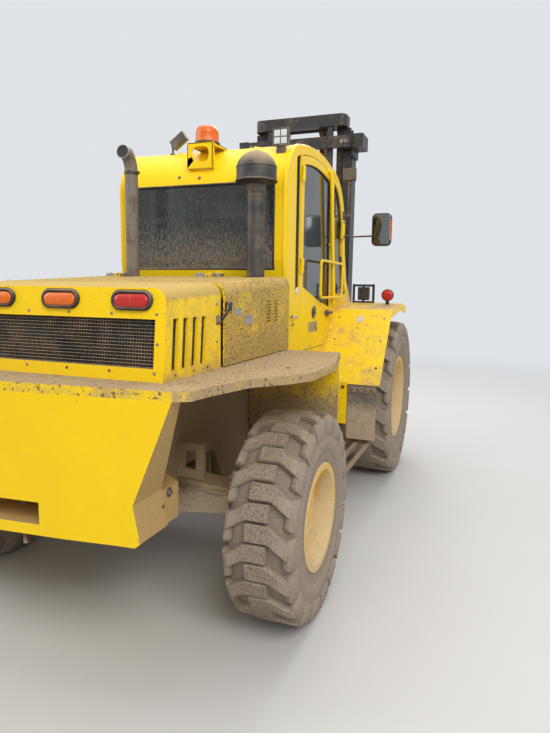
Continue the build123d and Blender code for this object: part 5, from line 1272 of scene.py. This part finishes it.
# Steps: teeth along the treads
teeth = Shape()
for side, x, k in product((-1, 1), (0.785, 0.868, 0.95), range(31)):
    a = 0.775 + 0.025 * k
    teeth.rings([[at(side * x + u * w, a + v * w, z) for u, v in ((-1, -0.8), (1, -0.8), (1, 0.8), (-1, 0.8))]
                 for z, w in ((0.4405, 0.0095), (0.4425, 0.0095), (0.447, 0.0035))])
teeth.piece("step_teeth", shaded_chassis_paint)


# Crust of dried mud along the top of the rear axle, thicker in one place by each wheel
CRUST_START, CRUST_END, CRUST_THICK = 0.1, 0.66, 0.013
HEAP_X = 0.3
LENGTHS = 45


def crust(shape, side):
    """A low ridge with uneven edges, its lower half sunk into the axle."""
    rings = []
    for i in range(LENGTHS + 1):
        x = CRUST_START + (CRUST_END - CRUST_START) * i / LENGTHS
        fade = min(1.0, i / 4, (LENGTHS - i) / 4)
        heap = 1 + 1.5 * math.exp(-((x - HEAP_X) / 0.03) ** 2)
        ring = []
        for turn in turns(22):
            c, s = math.cos(turn), math.sin(turn)
            rough = 1 + 0.35 * noise.noise(Vector((x * 22, c * 1.3, s * 1.3 + side * 5)))
            rough += 0.16 * noise.noise(Vector((x * 90, c * 5, s * 5 + side * 9)))
            ring.append(at(side * x, -0.035 + 0.052 * (0.35 + 0.65 * fade) * c * rough,
                           0.556 + CRUST_THICK * fade * heap * s * rough))
        rings.append(ring if side < 0 else ring[::-1])
    shape.rings(rings)


mud_crust = Shape()
for side in (-1, 1):
    crust(mud_crust, side)
mud_crust.piece("axle_mud", caked, sharp=180)

# Engine under the hood: covers, pipes, filters and belt drive on the block
def hose(shape, radius, places, steps=6, count=14):
    return shape.tube(smooth_line([at(*place) for place in places], steps), radius, count)


engine = Shape()
engine.box(-0.105, 0.085, -0.06, 0.5, 1.399, 1.42)
engine.rings([[at(-0.01 + x * k, a, z) for x, a in ((-0.085, -0.05), (-0.085, 0.49), (0.085, 0.49),
                                                     (0.085, -0.05))]
              for z, k in ((1.419, 1.0), (1.462, 0.94), (1.474, 0.82))])
for a in (0.03, 0.22, 0.41):
    engine.lathe([(0, 0.014), (0.006, 0.014), (0.008, 0.009), (0.012, 0.008)], at(-0.01, a, 1.473), UP, 16)
engine.lathe([(0, 0.034), (0.014, 0.034), (0.018, 0.028), (0.03, 0.026), (0.032, 0.006)],
             at(0.03, 0.12, 1.47), UP, 24)
for a in (0.02, 0.15, 0.28, 0.41):
    hose(engine, 0.02, ((-0.1, a, 1.385), (-0.165, a, 1.418), (-0.205, a, 1.44)), 5, 12)
    hose(engine, 0.018, ((0.08, a, 1.38), (0.15, a, 1.412), (0.19, a + 0.01, 1.415)), 5, 12)
engine.rod(at(-0.212, -0.03, 1.442), at(-0.212, 0.45, 1.442), 0.03, 20, 0.006)
engine.rod(at(0.2, -0.02, 1.42), at(0.2, 0.47, 1.42), 0.028, 20, 0.006)
hose(engine, 0.026, ((0.2, 0.45, 1.42), (0.27, 0.5, 1.42), (0.34, 0.548, 1.415), (0.376, 0.585, 1.415)))
hose(engine, 0.034, ((-0.212, 0.43, 1.442), (-0.29, 0.5, 1.442), (-0.38, 0.56, 1.44), (-0.43, 0.59, 1.44)))
engine.lathe([(0, 0.05), (0.01, 0.054), (0.17, 0.054), (0.18, 0.046)], at(-0.33, 0.1, 1.24), UP, 28)
engine.lathe([(0, 0.04), (0.008, 0.044), (0.12, 0.044), (0.126, 0.036)], at(-0.33, 0.26, 1.27), UP, 28)
for a in (0.1, 0.26):
    engine.box(-0.33, -0.265, a - 0.035, a + 0.035, 1.382, 1.41)
for x, z, end, radius, count in ((0.1, 1.3, -0.205, 0.06, 32), (-0.12, 1.34, -0.2, 0.04, 28),
                                 (-0.01, 1.15, -0.205, 0.085, 36)):
    engine.rod(at(x, -0.152, z), at(x, end, z), radius, count, 0.004)
engine.piece("engine_top", iron, bevel=0.003, sharp=40)
belt = Shape()
belt.tube([at(x, -0.184, z) for x, z in
           ((0.163, 1.305), (0.146, 1.343), (0.105, 1.362), (0.0, 1.372), (-0.11, 1.382), (-0.152, 1.362),
            (-0.16, 1.33), (-0.12, 1.205), (-0.08, 1.09), (-0.01, 1.063), (0.06, 1.095), (0.12, 1.205))],
          0.008, 6, closed=True)
hose(belt, 0.024, ((0.06, -0.02, 1.455), (0.08, -0.16, 1.48), (0.12, -0.3, 1.478), (0.14, -0.415, 1.455)))
hose(belt, 0.024, ((-0.24, -0.1, 1.1), (-0.3, -0.22, 1.13), (-0.32, -0.33, 1.22), (-0.32, -0.425, 1.25)))
belt.piece("engine_belt_and_hoses", rubber, sharp=60)

# Radiator: tanks, side rails, cap
cooler = Shape()
cooler.rings([[at(x * k, -0.47 + a * k, z) for x, a in ((-0.482, -0.056), (0.482, -0.056), (0.482, 0.056),
                                                         (-0.482, 0.056))]
              for z, k in ((1.4895, 0.96), (1.4905, 1.0), (1.503, 1.0), (1.51, 0.95))])
cooler.lathe([(0, 0.022), (0.008, 0.022), (0.01, 0.028), (0.018, 0.028), (0.021, 0.02)],
             at(0.3, -0.47, 1.508), UP, 20)
for side in (-1, 1):
    cooler.slab(side, 0.474, 0.486, -0.527, -0.413, 1.183, 1.492)
cooler.piece("radiator_tanks", black_parts, bevel=0.002)

# Mast: bolts, roller caps and pins at its head, catches of the forks, rings of the tilt cylinders
bolts = Shape()
bolts.fasten(Shape.hex, (0.41, 0.45), 2.612, (0.4, 1.13, 2.825), BACKWARD, 0.011, 0.01)
pins = Shape()
catches = Shape()
for side in (-1, 1):
    for z in (2.838, 2.8):
        bolts.lathe([(0, 0.018), (0.006, 0.018), (0.009, 0.012)], at(side * 0.48, 2.82, z), (side, 0, 0), 20)
    bolts.lathe([(0, 0.04), (0.012, 0.0445), (0.03, 0.0445), (0.034, 0.034)], at(side * 0.285, 2.698, 2.566),
                UP, 28)
    pins.lathe([(0, 0.024), (0.01, 0.024), (0.013, 0.018), (0.013, 0.004)], at(side * 0.385, 2.8199, 3.025),
               (side, 0, 0), 24)
    x = side * 0.33
    catches.box(x - 0.03, x + 0.03, 2.982, 3.02, 0.7185, 0.742)
    catches.rod(at(x, 3.0, 0.742), at(x, 3.0, 0.79), 0.011, 16, 0.002)
    catches.tube([at(x - 0.024, 3.0, 0.79), at(x + 0.024, 3.0, 0.79)], 0.006, 10)
bolts.piece("mast_bolts", bolt_steel, body="mast")
pins.piece("mast_head_pins", bright_steel, body="lift_mast")
catches.piece("fork_latches", bolt_steel, body="fork_carriage", bevel=0.0015)
for name, side in SIDES:
    base = at(side * 0.46, 1.55, 0.8)
    eye = at(side * 0.46, 2.66, 0.985)
    run = (eye - base).normalized()
    end = base + run * ((eye - base).length - 0.29)
    gland = Shape()
    gland.lathe([(-0.03, 0.0402), (-0.028, 0.045), (-0.006, 0.045), (-0.004, 0.043), (0.004, 0.03),
                 (0.008, 0.0285), (0.008, 0.024)], end, run, 28)
    for k in (0.14, 0.6):
        ring, port = base + run * k, base + run * (k + 0.007)
        gland.lathe([(0, 0.04), (0, 0.0425), (0.014, 0.0425), (0.014, 0.04)], ring, run, 28)
        gland.rod(port + Vector((0, 0, 0.036)), port + Vector((0, 0, 0.06)), 0.01, 14, 0.002)
    gland.piece(f"tilt_gland_{name}", black_parts, body=f"tilt_cylinder_{name}")


# Seat: sewn cushion and back over a suspension base
def squarish(share):
    """Sine or cosine of a circle, made that of a rounded square."""
    return math.copysign(abs(share) ** 0.35, share)


def pad(name, half_x, half_y, half_z, middle, lean):
    """Closed cushion form, a little smaller than the pad it becomes."""
    corners = [(squarish(math.cos(t)), squarish(math.sin(t))) for t in turns(48)]
    shape = Shape()
    shape.rings([[Vector(((half_x - inset) * u, (half_y - inset) * v, half_z * z)) for u, v in corners]
                 for z, inset in ((-1, 0.03), (-0.86, 0.01), (-0.5, 0.002), (0, 0), (0.5, 0.002), (0.86, 0.01),
                                  (1, 0.03))])
    turn = Matrix.Translation(middle) @ Matrix.Rotation(lean, 4, "X")
    for v in shape.bm.verts:
        v.co = turn @ v.co
    return shape.piece(name, cloth, sharp=180), turn


VOXEL, QUICK_VOXEL = 0.0065, 0.01
CLOTH_FRAMES = 20
MOST_SWELL = 0.024
BACK_LEAN = math.radians(90 - 5.5)
pads = [pad("seat_cushion", 0.226, 0.226, 0.048, at(0, 1.37, 1.393), 0.0),
        pad("seat_back", 0.216, 0.262, 0.046, at(0, 1.108, 1.728), BACK_LEAN)]


def settled(piece):
    """Put the piece's evaluated mesh in place of its modifiers."""
    graph = bpy.context.evaluated_depsgraph_get()
    mesh = bpy.data.meshes.new_from_object(piece.evaluated_get(graph))
    piece.modifiers.clear()
    piece.data = mesh


for piece, turn in pads:
    remesh = piece.modifiers.new("remesh", "REMESH")
    remesh.mode = "VOXEL"
    remesh.voxel_size = VOXEL
    settled(piece)
starts = [[v.co.copy() for v in piece.data.vertices] for piece, turn in pads]
for piece, turn in pads:
    swell = piece.modifiers.new("swell", "CLOTH")
    swell.settings.quality = 5
    swell.settings.use_pressure = True
    swell.settings.uniform_pressure_force = 4
    swell.settings.effector_weights.gravity = 0
for number in range(1, CLOTH_FRAMES + 1):
    scene.frame_set(number)
for (piece, turn), start in zip(pads, starts):
    settled(piece)
    for v, before in zip(piece.data.vertices, start):
        move = v.co - before
        if move.length > MOST_SWELL:
            v.co = before + move.normalized() * MOST_SWELL
scene.frame_set(1)
CHANNEL_X, CHANNEL_Y = 0.135, 0.075


def groove(distance, half, depth):
    """Depth of a round-edged groove or welt at a distance from its middle line."""
    return max(0.0, 1 - (distance / half) ** 2) * depth


for piece, turn in pads:
    back = turn.inverted()
    for v in piece.data.vertices:
        # Sewn channels across the pad and a seam round its side
        x, y, z = back @ v.co
        x, y = abs(x), abs(y)
        dent = 0.0
        if z > 0.02:
            dent = groove(x - CHANNEL_X, 0.011, 0.008)
            if x < CHANNEL_X:
                dent = max(dent, groove(y - CHANNEL_Y, 0.01, 0.007))
        welt = groove(z - 0.026, 0.006, 0.003) if max(x / 0.2, y / 0.19) > 1 else 0.0
        v.co = v.co - v.normal * dent + v.normal * welt
    for polygon in piece.data.polygons:
        polygon.use_smooth = True
    piece.modifiers.new("smoother", "SUBSURF").levels = 1
    piece.modifiers["smoother"].render_levels = 1
seat_base = Shape()
folds = []
for k in range(15):
    half_x, half_y = (0.165, 0.17) if k % 2 else (0.147, 0.152)
    folds.append([at(u * half_x, 1.35 + v * half_y, 1.135 + 0.0125 * k) for u, v in OCTAGON])
seat_base.rings(folds)
seat_base.box(-0.17, 0.17, 1.17, 1.53, 1.07, 1.137)
seat_base.box(-0.215, 0.215, 1.15, 1.59, 1.308, 1.346)
seat_base.side([(1.055, 1.44), (1.085, 1.44), (1.035, 1.985), (1.018, 1.985)], -0.205, 0.205)
seat_base.side([(1.05, 1.33), (1.18, 1.33), (1.18, 1.346), (1.085, 1.46), (1.05, 1.46)], -0.19, 0.19)
for side in (-1, 1):
    seat_base.tube(smooth_line(both(side, (0.235, 1.085, 1.6), (0.262, 1.15, 1.612), (0.265, 1.35, 1.615),
                                    (0.262, 1.4, 1.612)), 5), 0.03, 10, flat=0.018)
    seat_base.rod(at(side * 0.19, 1.082, 1.6), at(side * 0.25, 1.082, 1.6), 0.016, 16, 0.002)
    seat_base.slab(side, 0.215, 0.232, 1.2, 1.54, 1.31, 1.332)
seat_piece = seat_base.piece("seat_base", black_plastic, bevel=0.004, sharp=40)
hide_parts("seat")

# Floor, backdrop and light. Far out, the floor takes the colour of the backdrop where it is looked at.
BACKDROP = (0.74, 0.77, 0.8, 1)


def looked_at(tree):
    """One where a camera, glossy or transmission ray meets the surface."""
    path = tree.nodes.new("ShaderNodeLightPath")
    value = path.outputs["Is Camera Ray"]
    for label in ("Is Glossy Ray", "Is Transmission Ray"):
        value = new_node(tree, "Math", {0: value, 1: path.outputs[label]}, operation="MAXIMUM")
    return value


def studio_floor():
    """Plain grey ground that passes into the backdrop with the distance."""
    net = Net("studio_floor")
    x, y = net.split(net.place)[:2]
    far = net.math("SQRT", net.times(x, x, net.times(y, y)))
    patches = net.noise(2.0, 4, 0.6)
    net.done(net.mix(patches, (0.5, 0.49, 0.475), (0.53, 0.52, 0.505)), 0.9)
    blend = net.add("MixShader", {0: net.times(net.ramp(far, 3.6, 11.0), looked_at(net.tree)),
                                  1: net.shader.outputs[0], 2: net.add("Emission", {"Color": BACKDROP})})
    put(net.tree, net.tree.nodes["Material Output"].inputs["Surface"], blend)
    return net.material


FAR, FLOOR_Z = 90, -0.0005
floor_mesh = bpy.data.meshes.new("studio_floor")
floor_mesh.from_pydata([(x, y, FLOOR_Z) for x, y in ((-FAR, -FAR), (FAR, -FAR), (FAR, FAR), (-FAR, FAR))], [],
                       [(0, 1, 2, 3)])
floor = bpy.data.objects.new("studio_floor", floor_mesh)
floor_mesh.materials.append(studio_floor())
bpy.context.collection.objects.link(floor)

world = bpy.data.worlds.new("studio")
scene.world = world
world.use_nodes = True
tree = world.node_tree
ambient = tree.nodes["Background"]
ambient.inputs["Color"].default_value = (0.93, 0.95, 1.0, 1)
ambient.inputs["Strength"].default_value = 0.62
blend = new_node(tree, "MixShader", {0: looked_at(tree), 1: ambient.outputs[0],
                                     2: new_node(tree, "Background", {"Color": BACKDROP})})
put(tree, tree.nodes["World Output"].inputs["Surface"], blend)


def lamp(name, place, aim, size, power, colour=(1, 1, 1)):
    """Area light at a place, turned to what it lights."""
    data = bpy.data.lights.new(name, "AREA")
    data.shape = "RECTANGLE"
    data.size, data.size_y = size
    data.energy = power
    data.color = colour
    light = bpy.data.objects.new(name, data)
    light.location = place
    light.rotation_euler = (Vector(aim) - Vector(place)).to_track_quat("-Z", "Y").to_euler()
    bpy.context.collection.objects.link(light)


lamp("key_light", (-5.0, 6.5, 6.5), (0, 0.8, 1.2), (5, 4), 520, (1.0, 0.985, 0.95))
lamp("top_light", (0.5, 0.0, 8.0), (0, 0, 1), (7, 7), 330)
lamp("left_light", (7.0, 3.0, 4.5), (0, 0.5, 1.2), (4, 4), 200, (0.96, 0.98, 1.0))
lamp("front_light", (0.0, -7.0, 8.0), (0, -0.5, 1.2), (5, 3), 400)
